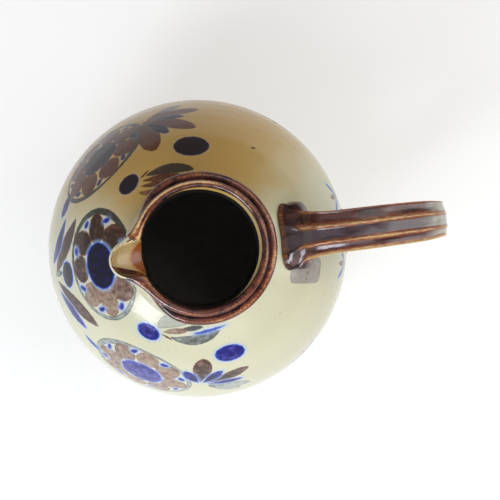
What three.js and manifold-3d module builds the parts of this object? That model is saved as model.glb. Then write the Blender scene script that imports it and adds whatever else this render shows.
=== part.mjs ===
// Stoneware pottery jug: a thrown body, a luted neck with a double-ridged rim and a pulled
// spout, and a pulled strap handle set in two wads of clay.
// Millimetres, +Z up. The origin is the centre of the flat foot, on the axis of the body.
// The handle points to +X and the spout to -X.

import * as THREE from 'three';
import { mergeVertices } from 'three/addons/utils/BufferGeometryUtils.js';
import Module from 'manifold-3d';

const wasm = await Module();
wasm.setup();

// Body
const bodyRadius = 85;
const equatorHeight = 76;
const seamHeight = 154;
const seamRadius = 34;
const wallThickness = 5;
const floorThickness = 8;
const floorFillet = 11;
const footRadius = 43;
const footHeight = 4;
const footStep = 2.2;
const footBevel = 1.2;

// Neck and rim, with rises measured up from the seam
const throatRadius = 28.4;
const neckWaistRadius = 33;
const neckWaistRise = 5;
const neckSettleShare = 0.3;
const flankRiseShare = 0.6;
const flankSwellShare = 0.4;
const collarRadius = 37.4;
const collarRise = 17.6;
const beadRadius = 2.2;
const grooveRadius = 33.3;
const grooveRise = 18.6;
const lipRadius = 31.2;
const lipHalfThickness = 1.9;
const lipHeight = 3.4;
const rimRise = 24;

// Spout, whose reach and tip radius are those of the middle of its lip. Its sides draw in towards
// the tip, the outer face more than the channel, and it is turned a little towards -Y, all by
// angles in radians.
const spoutReach = 43.6;
const spoutTipRadius = 8.2;
const spoutLipShare = 0.52;
const spoutTurn = 0.04;
const spoutOuterTaper = 0.42;
const spoutChannelTaper = 0.16;
const spoutOuterBlend = 8;
const spoutChannelBlend = 3;
const spoutUndersideRise = 3;
const spoutShoulderRise = 17.5;
const channelLowRise = 8;
const channelHighRise = 18.5;
const ridgesFadeFrom = 0.38;
const ridgesFadeTo = 1.2;

// Strap handle
const strapWidthTop = 21.2;
const strapWidthLow = 18.6;
const strapRootFlare = 8;
const strapTailFlare = 4;
const strapThicknessTop = 9;
const strapThicknessLow = 7.2;
const ridgePlaces = [0, 0.35, 0.72, 1];
const channelDepth = 1.3;
const strapCrown = 1.4;
const strapBackSquareness = 0.55;
const handleReach = 126.6;
const handleCrest = 164.5;
const handleTailHeight = 60;
const strapInset = 14;
const strapTailSlope = 0.45;

// Bends of the strap between its root and its tail, as shares of its run out from the root
// and of its drop from the crest to the tail
const strapPath = [
  [0.16, 0.05],
  [0.42, 0],
  [0.7, 0.045],
  [0.95, 0.15],
  [1, 0.36],
  [0.9, 0.62],
  [0.7, 0.83],
];

// Where the strap's width and thickness change, as shares of its length
const taperFrom = 0.15;
const taperTo = 0.85;
const rootFlareTo = 0.2;
const tailFlareFrom = 0.8;

// Wads of clay at the two ends of the strap
const rimToPadGap = 2.2;
const upperPadHalfLength = 9.8;
const upperPadHalfWidth = 17.5;
const upperPadHeight = 6.5;
const upperPadShift = 0.5;
const upperPadSquareness = 0.11;
const lowerPadHalfLength = 17;
const lowerPadHalfWidth = 15.5;
const lowerPadHeight = 5.5;
const lowerPadSquareness = 0.06;
const padSunkShare = 0.5;

// Clearance between pieces that meet on curved faces
const fitGap = 0.3;

// Steps round and along the pieces. The neck's sides crowd towards the spout.
const bodySides = 76;
const upperOutsideSteps = 9;
const lowerOutsideSteps = 8;
const upperInsideSteps = 7;
const lowerInsideSteps = 5;
const filletSteps = 4;
const cutterSteps = 14;
const neckSides = 76;
const spoutCrowding = 0.56;
const beadSteps = 7;
const beadFrom = -1.3;
const beadTo = 2.4;
const lipSteps = 7;
const channelSteps = 7;
const strapSteps = 38;
const stepsPerChannel = 5;
const strapBackSteps = 9;
const padSides = 32;
const padRings = 20;

// A body arc runs from the equator to a height where the radius is known, and is part of an
// ellipse whose half width is the body's radius. Its angle is measured from the equator.
function bodyArc(endRadius, endHeight) {
  const endAngle = Math.acos(endRadius / bodyRadius);
  const halfHeight = (endHeight - equatorHeight) / Math.sin(endAngle);
  return { endAngle, halfHeight };
}

const upperArc = bodyArc(seamRadius, seamHeight);
const lowerArc = bodyArc(footRadius + footStep, footHeight);

// Point of a body arc, moved out along the surface normal by offset (negative goes in)
function arcPoint(arc, angle, offset) {
  const normal = new THREE.Vector2(
    Math.cos(angle) * Math.abs(arc.halfHeight),
    Math.sin(angle) * bodyRadius * Math.sign(arc.halfHeight),
  ).normalize();
  return new THREE.Vector2(
    bodyRadius * Math.cos(angle) + normal.x * offset,
    equatorHeight + arc.halfHeight * Math.sin(angle) + normal.y * offset,
  );
}

function arcPoints(arc, fromAngle, toAngle, steps, offset) {
  const points = [];
  for (let i = 0; i <= steps; i += 1) {
    const angle = fromAngle + (toAngle - fromAngle) * (i / steps);
    points.push(arcPoint(arc, angle, offset));
  }
  return points;
}

// Angle at which a measure of the arc's offset point falls to a wanted value
function angleWhere(arc, offset, measure, wanted) {
  let low = 0;
  let high = arc.endAngle;
  const startsAbove = measure(arcPoint(arc, low, offset)) > wanted;
  for (let i = 0; i < 40; i += 1) {
    const middle = (low + high) / 2;
    const above = measure(arcPoint(arc, middle, offset)) > wanted;
    if (above === startsAbove) {
      low = middle;
    } else {
      high = middle;
    }
  }
  return (low + high) / 2;
}

// Revolves a profile of radius and height about the jug's upright axis
function revolve(profile, sides) {
  const geometry = new THREE.LatheGeometry(profile, sides);
  geometry.rotateX(Math.PI / 2);
  return geometry;
}

// Skins a list of rings that all have the same number of points. The rings close on
// themselves, or the first and last get a flat cap.
function loft(rings, closesOnItself) {
  const count = rings[0].length;
  const positions = rings.flat().flatMap((point) => [point.x, point.y, point.z]);
  const faces = [];
  const strips = closesOnItself ? rings.length : rings.length - 1;
  for (let ring = 0; ring < strips; ring += 1) {
    const here = ring * count;
    const next = ((ring + 1) % rings.length) * count;
    for (let i = 0; i < count; i += 1) {
      const j = (i + 1) % count;
      faces.push(here + i, here + j, next + j);
      faces.push(here + i, next + j, next + i);
    }
  }
  if (!closesOnItself) {
    const last = (rings.length - 1) * count;
    for (let i = 1; i < count - 1; i += 1) {
      faces.push(0, i + 1, i);
      faces.push(last, last + i, last + i + 1);
    }
  }
  const geometry = new THREE.BufferGeometry();
  geometry.setAttribute('position', new THREE.Float32BufferAttribute(positions, 3));
  geometry.setIndex(faces);
  return geometry;
}

function toSolid(geometry) {
  const bare = geometry.clone();
  bare.deleteAttribute('normal');
  bare.deleteAttribute('uv');
  const merged = mergeVertices(bare);
  return new wasm.Manifold(new wasm.Mesh({
    numProp: 3,
    vertProperties: new Float32Array(merged.attributes.position.array),
    triVerts: new Uint32Array(merged.index.array),
  }));
}

function toGeometry(solid) {
  const mesh = solid.getMesh();
  const geometry = new THREE.BufferGeometry();
  geometry.setAttribute('position', new THREE.BufferAttribute(mesh.vertProperties, 3));
  geometry.setIndex(new THREE.BufferAttribute(mesh.triVerts, 1));
  geometry.computeVertexNormals();
  return geometry;
}

// Thrown body: a closed wall from the underside of the foot, up the outside to the seam, and
// back down the inside to the middle of the floor
function bodyProfile() {
  const mouthAngle = angleWhere(upperArc, -wallThickness, (point) => point.x, throatRadius);
  const filletHeight = floorThickness + floorFillet;
  const filletAngle = angleWhere(lowerArc, -wallThickness, (point) => point.y, filletHeight);
  const filletStart = arcPoint(lowerArc, filletAngle, -wallThickness);
  const floorFilletCurve = new THREE.QuadraticBezierCurve(
    filletStart,
    new THREE.Vector2(filletStart.x - floorFillet, floorThickness),
    new THREE.Vector2(filletStart.x - 2 * floorFillet, floorThickness),
  );
  return [
    new THREE.Vector2(0, 0),
    new THREE.Vector2(footRadius - footBevel, 0),
    new THREE.Vector2(footRadius, footBevel),
    new THREE.Vector2(footRadius, footHeight),
    ...arcPoints(lowerArc, lowerArc.endAngle, 0, lowerOutsideSteps, 0),
    ...arcPoints(upperArc, 0, upperArc.endAngle, upperOutsideSteps, 0).slice(1),
    new THREE.Vector2(throatRadius, seamHeight),
    ...arcPoints(upperArc, mouthAngle, 0, upperInsideSteps, -wallThickness),
    ...arcPoints(lowerArc, 0, filletAngle, lowerInsideSteps, -wallThickness).slice(1),
    ...floorFilletCurve.getPoints(filletSteps).slice(1),
    new THREE.Vector2(0, floorThickness),
  ];
}

// The outside of the body, filled in and grown by the fit gap, cuts what sits on the body
function bodyCutter() {
  const profile = [
    new THREE.Vector2(0, footHeight),
    ...arcPoints(lowerArc, lowerArc.endAngle, 0, cutterSteps, fitGap),
    ...arcPoints(upperArc, 0, upperArc.endAngle, cutterSteps, fitGap).slice(1),
    new THREE.Vector2(0, seamHeight + fitGap),
  ];
  return toSolid(revolve(profile, bodySides));
}

// Stations up the outside of the neck: a waist, then the bead of the collar, then the groove.
// Each has a radius and a rise, and those that it has where the ridges fade into the spout.
function outsideStations() {
  const beadMiddle = collarRadius - beadRadius;
  const flankRise = THREE.MathUtils.lerp(neckWaistRise, collarRise, flankRiseShare);
  const stations = [
    [seamRadius, 0],
    [THREE.MathUtils.lerp(neckWaistRadius, seamRadius, neckSettleShare), neckWaistRise / 2],
    [neckWaistRadius, neckWaistRise],
    [THREE.MathUtils.lerp(neckWaistRadius, beadMiddle, flankSwellShare), flankRise],
  ];
  for (let step = 0; step < beadSteps; step += 1) {
    const angle = beadFrom + (beadTo - beadFrom) * (step / (beadSteps - 1));
    stations.push([
      beadMiddle + beadRadius * Math.cos(angle),
      collarRise + beadRadius * Math.sin(angle),
    ]);
  }
  stations.push([grooveRadius, grooveRise]);
  const fadedTop = rimRise - lipHeight;
  return stations.map(([radius, rise], index) => {
    const share = index / stations.length;
    return {
      radius,
      rise,
      fadedRadius: THREE.MathUtils.lerp(seamRadius, lipRadius + lipHalfThickness, share),
      fadedRise: fadedTop * share,
      outer: true,
    };
  });
}

// Stations over the lip, which is half an ellipse, and down the throat. The spout's channel
// cuts in between the channel's low and high rises.
function insideStations() {
  const stations = [];
  for (let step = 0; step < lipSteps; step += 1) {
    const angle = Math.PI * (step / (lipSteps - 1));
    stations.push({
      radius: lipRadius + lipHalfThickness * Math.cos(angle),
      rise: rimRise - lipHeight * (1 - Math.sin(angle)),
      outer: angle < Math.PI / 2,
    });
  }
  for (let step = 0; step < channelSteps; step += 1) {
    const share = step / (channelSteps - 1);
    stations.push({
      radius: throatRadius,
      rise: THREE.MathUtils.lerp(channelHighRise, channelLowRise, share),
      outer: false,
    });
  }
  stations.push({ radius: throatRadius, rise: 0, outer: false });
  return stations.map((station) => ({
    ...station,
    fadedRadius: station.radius,
    fadedRise: station.rise,
  }));
}

// Distance from the axis to the edge of a spout of a given reach, in a direction turned from the
// spout by angle: the arc of its tip, and beside it a straight side that draws in by taper
function spoutEdge(angle, reach, tipRadius, taper) {
  const tipCentre = reach - tipRadius;
  const sideStarts = Math.atan2(
    tipRadius * Math.cos(taper),
    tipCentre + tipRadius * Math.sin(taper),
  );
  if (angle > Math.PI / 2) {
    return 0;
  }
  if (angle > sideStarts) {
    return (tipRadius + tipCentre * Math.sin(taper)) / Math.sin(angle + taper);
  }
  const across = tipCentre * Math.sin(angle);
  return tipCentre * Math.cos(angle) + Math.sqrt(tipRadius ** 2 - across ** 2);
}

// Larger of two lengths, with the corner between them rounded by blend
function roundedMax(first, second, blend) {
  const overlap = Math.max(blend - Math.abs(first - second), 0);
  const rounding = blend > 0 ? (overlap * overlap) / (4 * blend) : 0;
  return Math.max(first, second) + rounding;
}

// How far the spout has grown at a station, from 0 on the plain neck to 1 at the rim
function spoutGrowth(station) {
  return station.outer
    ? THREE.MathUtils.smoothstep(station.fadedRise, spoutUndersideRise, spoutShoulderRise)
    : THREE.MathUtils.smoothstep(station.rise, channelLowRise, channelHighRise);
}

function neckRing(station) {
  const growth = spoutGrowth(station);
  const acrossLip = (station.fadedRadius - lipRadius) * spoutLipShare;
  const reach = THREE.MathUtils.lerp(station.fadedRadius, spoutReach + acrossLip, growth);
  const tipRadius = spoutTipRadius + acrossLip;
  const outwards = THREE.MathUtils.smoothstep(
    station.fadedRadius,
    lipRadius - lipHalfThickness,
    lipRadius + lipHalfThickness,
  );
  const taper = THREE.MathUtils.lerp(spoutChannelTaper, spoutOuterTaper, outwards);
  const blend = THREE.MathUtils.lerp(spoutChannelBlend, spoutOuterBlend, outwards) * growth;
  const ring = [];
  for (let i = 0; i < neckSides; i += 1) {
    const turn = (i / neckSides) * 2 * Math.PI;
    const angle = turn - spoutCrowding * Math.sin(turn);
    const fromSpout = Math.min(angle, 2 * Math.PI - angle);
    const ridged = THREE.MathUtils.smoothstep(fromSpout, ridgesFadeFrom, ridgesFadeTo);
    const round = THREE.MathUtils.lerp(station.fadedRadius, station.radius, ridged);
    const rise = THREE.MathUtils.lerp(station.fadedRise, station.rise, ridged);
    const edge = growth > 0 ? spoutEdge(fromSpout, reach, tipRadius, taper) : 0;
    const radius = roundedMax(round, edge, blend);
    ring.push(new THREE.Vector3(
      -radius * Math.cos(angle + spoutTurn),
      -radius * Math.sin(angle + spoutTurn),
      seamHeight + rise,
    ));
  }
  return ring;
}

function neckGeometry() {
  return loft([...outsideStations(), ...insideStations()].map(neckRing), true);
}

// Where the strap leaves the shoulder, and where its tail meets the belly
const rootRadius = collarRadius + rimToPadGap + upperPadHalfLength;
const rootAngle = Math.acos(rootRadius / bodyRadius);
const tailArc = handleTailHeight < equatorHeight ? lowerArc : upperArc;
const tailAngle = Math.asin((handleTailHeight - equatorHeight) / tailArc.halfHeight);

// Middle of the strap's thickness, in the plane y = 0
function strapCurve() {
  const root = arcPoint(upperArc, rootAngle, 0);
  const tail = arcPoint(tailArc, tailAngle, 0);
  const drop = handleCrest - tail.y;
  const run = handleReach - root.x;
  const points = [
    [root.x, root.y - strapInset],
    [root.x, root.y],
    ...strapPath.map(([out, down]) => [root.x + out * run, handleCrest - down * drop]),
    [tail.x, tail.y],
    [tail.x - strapInset, tail.y - strapTailSlope * strapInset],
  ];
  return new THREE.CatmullRomCurve3(points.map(([x, z]) => new THREE.Vector3(x, 0, z)));
}

// Section of the strap at a share of its length: points of (sideways, outwards). The outer
// face has a crown and its channels, and the back is a flattened round.
function strapSection(share, grow) {
  const taper = THREE.MathUtils.smoothstep(share, taperFrom, taperTo);
  const rootFlare = strapRootFlare * (1 - THREE.MathUtils.smoothstep(share, 0, rootFlareTo));
  const tailFlare = strapTailFlare * THREE.MathUtils.smoothstep(share, tailFlareFrom, 1);
  const width = THREE.MathUtils.lerp(strapWidthTop, strapWidthLow, taper) + rootFlare + tailFlare;
  const thickness = THREE.MathUtils.lerp(strapThicknessTop, strapThicknessLow, taper);
  const section = [];
  for (let channel = 0; channel < ridgePlaces.length - 1; channel += 1) {
    const [from, to] = [ridgePlaces[channel], ridgePlaces[channel + 1]];
    const isLast = channel === ridgePlaces.length - 2;
    const steps = isLast ? stepsPerChannel + 1 : stepsPerChannel;
    for (let i = 0; i < steps; i += 1) {
      const place = from + (to - from) * (i / stepsPerChannel);
      const crown = strapCrown * (2 * place - 1) ** 2;
      const scoop = channelDepth * Math.sin(Math.PI * (i / stepsPerChannel));
      section.push([
        (0.5 - place) * (width + 2 * grow),
        thickness / 2 - crown - scoop + grow,
      ]);
    }
  }
  for (let i = 1; i < strapBackSteps; i += 1) {
    const angle = Math.PI * (i / strapBackSteps);
    const sideways = Math.abs(Math.cos(angle)) ** strapBackSquareness;
    section.push([
      -(width / 2 + grow) * Math.sign(Math.cos(angle)) * sideways,
      -(thickness / 2 + grow) * Math.sin(angle) ** strapBackSquareness,
    ]);
  }
  return section;
}

function strapSolid(grow) {
  const curve = strapCurve();
  const rings = [];
  for (let step = 0; step <= strapSteps; step += 1) {
    const share = step / strapSteps;
    const middle = curve.getPointAt(share);
    const tangent = curve.getTangentAt(share);
    const outwards = new THREE.Vector3(-tangent.z, 0, tangent.x);
    rings.push(strapSection(share, grow).map(([sideways, out]) => new THREE.Vector3(
      middle.x + outwards.x * out,
      sideways,
      middle.z + outwards.z * out,
    )));
  }
  return toSolid(loft(rings, false));
}

// A wad of clay pressed on to the body: the cap of a slightly squared ellipsoid, sunk in the
// wall by a share of its half height, that lies along the surface at an angle of a body arc.
// Its lengths and height are those of the cap that stands out of the wall.
function padSolid({ arc, angle, halfLength, halfWidth, height, shift, squareness }) {
  const seat = arcPoint(arc, angle, 0);
  const outer = arcPoint(arc, angle, 1);
  const normal = new THREE.Vector3(outer.x - seat.x, 0, outer.y - seat.y);
  const along = new THREE.Vector3(normal.z, 0, -normal.x);
  const halfHeight = height / (1 - padSunkShare);
  const footprint = Math.sqrt(1 - padSunkShare ** 2);
  const geometry = new THREE.SphereGeometry(1, padSides, padRings);
  const place = geometry.attributes.position;
  for (let i = 0; i < place.count; i += 1) {
    const flat = new THREE.Vector2(place.getX(i), place.getY(i));
    const reach = flat.length();
    const direction = flat.angle();
    const squarer = 1 + squareness * (1 - Math.cos(4 * direction)) * reach;
    const lengthwise = flat.x * squarer * (halfLength / footprint);
    const sideways = flat.y * squarer * (halfWidth / footprint);
    const fallOfWall = (lengthwise ** 2 + sideways ** 2) / (2 * bodyRadius);
    const up = (place.getZ(i) - padSunkShare) * halfHeight - fallOfWall;
    place.setXYZ(
      i,
      seat.x + along.x * lengthwise + normal.x * up,
      sideways + shift,
      seat.y + along.z * lengthwise + normal.z * up,
    );
  }
  return toSolid(geometry);
}

function ceramic(colour, roughness) {
  return new THREE.MeshStandardMaterial({ color: colour, roughness, metalness: 0 });
}

function namedMesh(name, geometry, material) {
  const mesh = new THREE.Mesh(geometry, material);
  mesh.name = name;
  return mesh;
}

const cutByBody = bodyCutter();
const cutByStrap = strapSolid(fitGap);

const upperPad = padSolid({
  arc: upperArc,
  angle: rootAngle,
  halfLength: upperPadHalfLength,
  halfWidth: upperPadHalfWidth,
  height: upperPadHeight,
  shift: upperPadShift,
  squareness: upperPadSquareness,
});
const lowerPad = padSolid({
  arc: tailArc,
  angle: tailAngle,
  halfLength: lowerPadHalfLength,
  halfWidth: lowerPadHalfWidth,
  height: lowerPadHeight,
  shift: 0,
  squareness: lowerPadSquareness,
});

const creamGlaze = ceramic(0xd9cfae, 0.18);
const ironGlaze = ceramic(0x6e4230, 0.22);

const group = new THREE.Group();
group.add(namedMesh('thrown_body', revolve(bodyProfile(), bodySides), creamGlaze));
group.add(namedMesh('neck_and_spout', neckGeometry(), ironGlaze));
group.add(namedMesh('strap_handle', toGeometry(strapSolid(0).subtract(cutByBody)), ironGlaze));
group.add(namedMesh(
  'upper_handle_pad',
  toGeometry(upperPad.subtract(cutByBody).subtract(cutByStrap)),
  ironGlaze,
));
group.add(namedMesh(
  'lower_handle_pad',
  toGeometry(lowerPad.subtract(cutByBody).subtract(cutByStrap)),
  ironGlaze,
));

export default group;
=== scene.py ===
# %% [markdown]
# A glazed stoneware jug, seen almost straight from above.
# The jug is a few pieces of clay: a round thrown body, a neck with a ridged rim and a pulled
# spout, and a pulled strap handle. The imported frame already holds them as plain solids at their
# real size. This lesson builds the fine surfaces over those solids, paints them and glazes them.
# First the frame is loaded, and the boxes of its solids give some of the sizes below.

# %% Load the frame
import math

import bpy
import numpy as np
from mathutils import Matrix, Vector


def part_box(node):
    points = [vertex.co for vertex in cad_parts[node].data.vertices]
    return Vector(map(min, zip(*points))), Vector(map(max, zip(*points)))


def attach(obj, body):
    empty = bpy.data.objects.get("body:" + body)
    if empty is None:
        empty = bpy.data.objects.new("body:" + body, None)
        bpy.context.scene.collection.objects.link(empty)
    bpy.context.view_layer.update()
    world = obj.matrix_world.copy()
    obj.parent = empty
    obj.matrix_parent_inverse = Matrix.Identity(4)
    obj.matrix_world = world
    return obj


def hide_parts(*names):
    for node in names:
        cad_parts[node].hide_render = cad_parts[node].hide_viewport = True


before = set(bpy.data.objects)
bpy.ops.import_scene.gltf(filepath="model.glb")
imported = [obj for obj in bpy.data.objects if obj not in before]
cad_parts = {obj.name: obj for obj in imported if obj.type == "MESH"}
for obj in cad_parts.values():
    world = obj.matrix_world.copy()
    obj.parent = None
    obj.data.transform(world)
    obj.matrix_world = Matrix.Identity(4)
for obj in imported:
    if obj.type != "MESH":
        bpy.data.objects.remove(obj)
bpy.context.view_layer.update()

# %% [markdown]
# A potter thinks in millimetres and Blender measures in metres, so every size below is written
# in millimetres and is multiplied by one value when a mesh or a lamp is made.
# The sizes that the frame can tell are read from it, and the rest are the jug's own sizes.

# %% Sizes that the frame tells
MM = 0.001
TO_MM = 1 / MM


def far_corner(node):
    """The corner of a solid's box with the greatest x, y and z, in millimetres."""
    _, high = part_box(node)
    return (np.array(high) * TO_MM).tolist()


BODY_RADIUS, _, SEAM_HEIGHT = far_corner("thrown_body")
RIM_RISE = far_corner("neck_and_spout")[2] - SEAM_HEIGHT
print(f"body {2 * BODY_RADIUS:.1f} mm wide, seam at {SEAM_HEIGHT:.1f} mm, rim {RIM_RISE:.1f} mm above it")

# %% [markdown]
# The camera hangs above the mouth and looks almost straight down. It is turned a little about
# its own line of sight, which is why the handle points slightly upwards in the picture, and it
# leans a little towards the handle, which shows more of the strap than of the spout.
# The three directions of the picture (right, up and forward) are worked out from those two
# angles, and together they are the camera's rotation.

# %% Camera
CAMERA_PLACE = Vector((-7.0, 0.0, 676.0))
CAMERA_SPIN = math.radians(7.0)
CAMERA_LEAN = math.radians(3.5)
CAMERA_LENS = 74.7
SENSOR_WIDTH = 36.0

straight_down = Vector((0.0, 0.0, -1.0))
level_right = Vector((math.cos(CAMERA_SPIN), -math.sin(CAMERA_SPIN), 0.0))
picture_up = Vector((math.sin(CAMERA_SPIN), math.cos(CAMERA_SPIN), 0.0))
picture_forward = straight_down * math.cos(CAMERA_LEAN) + level_right * math.sin(CAMERA_LEAN)
picture_right = level_right * math.cos(CAMERA_LEAN) - straight_down * math.sin(CAMERA_LEAN)

camera_data = bpy.data.cameras.new("overhead_camera")
camera_data.lens = CAMERA_LENS
camera_data.sensor_width = SENSOR_WIDTH
camera = bpy.data.objects.new("overhead_camera", camera_data)
bpy.context.scene.collection.objects.link(camera)
turned = Matrix((picture_right, picture_up, -picture_forward)).transposed()
camera.matrix_world = Matrix.Translation(CAMERA_PLACE * MM) @ turned.to_4x4()
bpy.context.scene.camera = camera
print("camera height in metres", round(camera.location.z, 3))

# %% [markdown]
# Small helpers serve every material. The first turns a colour that is written as on the web
# (sRGB hex) into the linear numbers that a renderer adds up. Another adds a node, sets its
# settings, joins or fills its sockets, and hands back the output that the next node needs.
# The rest are what glazes need again and again: a noise of a real size, a value that such a noise
# makes uneven, and a colour with other tones laid over it. A smooth step between two levels is
# Blender's own Map Range node.

# %% Colours and nodes
# Places of the Mix node's sockets when it mixes colours
MIX_SHARE, MIX_FIRST, MIX_SECOND, MIX_RESULT = 0, 6, 7, 2
SMOOTH = {"interpolation_type": "SMOOTHSTEP"}


def linear(hex_colour):
    channels = [int(hex_colour[place:place + 2], 16) / 255 for place in (1, 3, 5)]
    bent = [c / 12.92 if c <= 0.04045 else ((c + 0.055) / 1.055) ** 2.4 for c in channels]
    return (*bent, 1.0)


def new_material(name):
    material = bpy.data.materials.new(name)
    material.use_nodes = True
    material.node_tree.nodes.clear()
    return material


def add_node(tree, kind, sockets=(), output=0, **settings):
    """Adds a node and returns one of its outputs. Sockets are values or outputs of other nodes, in
    order or by name or place, and settings are the node's own properties."""
    node = tree.nodes.new("ShaderNode" + kind)
    for name, value in settings.items():
        setattr(node, name, value)
    for name, value in sockets.items() if isinstance(sockets, dict) else enumerate(sockets):
        if isinstance(value, bpy.types.NodeSocket):
            tree.links.new(value, node.inputs[name])
        else:
            node.inputs[name].default_value = value
    return node.outputs[output] if node.outputs else None


TABLE_PAINT = linear("#f8f8f6")
print("paint of the table in linear light", [round(c, 3) for c in TABLE_PAINT])

# %% Noise and layers
def grain(tree, millimetres, detail=2.0, place=None, shift=0.0):
    """Noise whose blotches are about so many millimetres wide, from 0 to 1."""
    if place is None:
        place = add_node(tree, "TexCoord", output="Object")
    moved = add_node(tree, "Mapping", {"Vector": place, "Location": (shift, shift, 0.0)})
    sockets = {"Vector": moved, "Scale": TO_MM / millimetres, "Detail": detail}
    return add_node(tree, "TexNoise", sockets, "Fac")


def uneven(tree, value, noise, amount):
    """A value that a noise raises and lowers, by half the amount at most."""
    swing = add_node(tree, "Math", (noise, amount, -amount / 2), operation="MULTIPLY_ADD")
    return add_node(tree, "Math", (value, swing), operation="ADD")


def layered(tree, colour, layers):
    """A colour with tones laid over it in turn. A layer is the share that it covers and its tone."""
    for share, tone in layers:
        sockets = {MIX_SHARE: share, MIX_FIRST: colour, MIX_SECOND: tone}
        colour = add_node(tree, "Mix", sockets, MIX_RESULT, data_type="RGBA")
    return colour


print("a blotch of 2.4 mm is a noise of scale", round(TO_MM / 2.4))

# %% [markdown]
# The jug stands on a plain pale table under soft daylight. The table must come out white in the
# picture and still hold the jug's shadow. So its material gives nearly half of its white to the
# camera itself (and to reflections), and the rest comes from the lamps: where a shadow falls, only
# that rest goes missing. Light that bounces from the table on to the jug is left as it would be.

# %% Table
TABLE_HALF_SIDE = 1600.0
TABLE_OWN_WHITE = 0.45


def matt_white_table():
    material = new_material("matt_white_table")
    tree = material.node_tree
    rays = add_node(tree, "LightPath").node.outputs
    seen = rays["Is Camera Ray"]
    for other in ("Is Glossy Ray", "Is Transmission Ray"):
        seen = add_node(tree, "Math", (seen, rays[other]), operation="MAXIMUM")
    share = add_node(tree, "Math", (seen, TABLE_OWN_WHITE), operation="MULTIPLY")
    matt = add_node(tree, "BsdfDiffuse", {"Color": TABLE_PAINT})
    white = add_node(tree, "Emission", {"Color": (1.0, 1.0, 1.0, 1.0), "Strength": 1.0})
    mixed = add_node(tree, "MixShader", (share, matt, white))
    add_node(tree, "OutputMaterial", {"Surface": mixed})
    return material


half = TABLE_HALF_SIDE * MM
table_mesh = bpy.data.meshes.new("table_top")
corners = [(-half, -half, 0), (half, -half, 0), (half, half, 0), (-half, half, 0)]
table_mesh.from_pydata(corners, [], [(0, 1, 2, 3)])
table_mesh.materials.append(matt_white_table())
table = bpy.data.objects.new("table_top", table_mesh)
bpy.context.scene.collection.objects.link(table)
print("table side in metres", 2 * half)

# %% [markdown]
# A tall window stands on the lower left, with a high window beside it. Their mirror images are the
# white highlights on the rim, the spout and the handle. Three broad, weak lamps stand for the pale
# room round the jug. More of their light comes from the lower side of the picture, and pushes the
# soft shadow upwards. The sky is an even, slightly warm grey. The sum of them lights the jug at a
# level where a colour comes out about as it is written, and leaves its upper side a third darker.

# %% Lamps and sky
JUG_MIDDLE = Vector((10.0, 0.0, 85.0))
WINDOW_LIGHT, ROOM_LIGHT = "#eef3ff", "#fffdfa"
SKY_LIGHT = 0.22
# Name, bearing and elevation in degrees, distance, width and height in millimetres, watts, colour
LAMPS = [
    ("tall window", 222, 35, 900, 300, 380, 4.3, WINDOW_LIGHT),
    ("high window", 238, 52, 1000, 260, 260, 2.4, WINDOW_LIGHT),
    ("front wall", 272, 38, 1500, 1300, 1300, 6.5, ROOM_LIGHT),
    ("side wall", 355, 32, 1300, 900, 900, 6.8, ROOM_LIGHT),
    ("ceiling", 40, 60, 1300, 900, 900, 3.8, ROOM_LIGHT),
]
for name, bearing, elevation, distance, width, height, watts, hex_colour in LAMPS:
    turn, lift = math.radians(bearing), math.radians(elevation)
    away = Vector((math.cos(turn) * math.cos(lift), math.sin(turn) * math.cos(lift), math.sin(lift)))
    data = bpy.data.lights.new(name, "AREA")
    data.shape = "RECTANGLE"
    data.size, data.size_y = width * MM, height * MM
    data.energy = watts
    data.color = linear(hex_colour)[:3]
    lamp = bpy.data.objects.new(name, data)
    lamp.location = (JUG_MIDDLE + away * distance) * MM
    lamp.rotation_mode = "QUATERNION"
    lamp.rotation_quaternion = away.to_track_quat("Z", "Y")
    bpy.context.scene.collection.objects.link(lamp)

world = bpy.data.worlds.new("soft_daylight")
world.use_nodes = True
bpy.context.scene.world = world
world.node_tree.nodes.clear()
sky = add_node(world.node_tree, "Background", {"Color": linear(ROOM_LIGHT), "Strength": SKY_LIGHT})
add_node(world.node_tree, "OutputWorld", {"Surface": sky})
bpy.context.scene.view_settings.view_transform = "Standard"
print("lamps", [name for name, *_ in LAMPS])

# %% [markdown]
# Every piece of clay here is one grid of points: rows of points round the jug or round the strap.
# One function joins such rows into faces and closes the two ends, and it stores numbers on the
# points that the materials read later, such as how far a point lies from the edge of a brush mark.
# A closed mesh has its faces turned outwards when the volume that they enclose comes out positive,
# so the function measures that volume and turns all faces over if it is negative.

# %% Soft steps and volumes
def smooth_step(value, low, high):
    share = np.clip((value - low) / (high - low), 0.0, 1.0)
    return share * share * (3 - 2 * share)


def mix(first, second, share):
    return first + (second - first) * share


def bent_line(start, bend, end, steps):
    """Points along a line that is pulled towards a bend, from its start to its end."""
    return [
        tuple((1 - s) ** 2 * a + 2 * s * (1 - s) * b + s * s * c for a, b, c in zip(start, bend, end))
        for s in np.linspace(0, 1, steps + 1)
    ]


def enclosed_volume(points, triangles):
    """Volume in a closed mesh. Each triangle adds the slim pyramid that it makes with the origin."""
    a, b, c = (points[triangles[:, i]] for i in range(3))
    return float((a * np.cross(b, c)).sum()) / 6


print("halfway up a soft step from 0 to 10 mm:", smooth_step(5, 0, 10))

# %% Faces of a grid
def grid_faces(rows, columns, strips):
    """Faces between each row and the next, all round. The row after the last is the first again."""
    row, column = np.meshgrid(np.arange(strips), np.arange(columns), indexing="ij")
    beside = (column + 1) % columns
    below = (row + 1) % rows * columns
    quads = [row * columns + column, row * columns + beside, below + beside, below + column]
    return np.stack(quads, axis=-1).reshape(-1, 4).tolist()


print("faces between 3 rows of 8 points:", len(grid_faces(3, 8, 2)))

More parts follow.
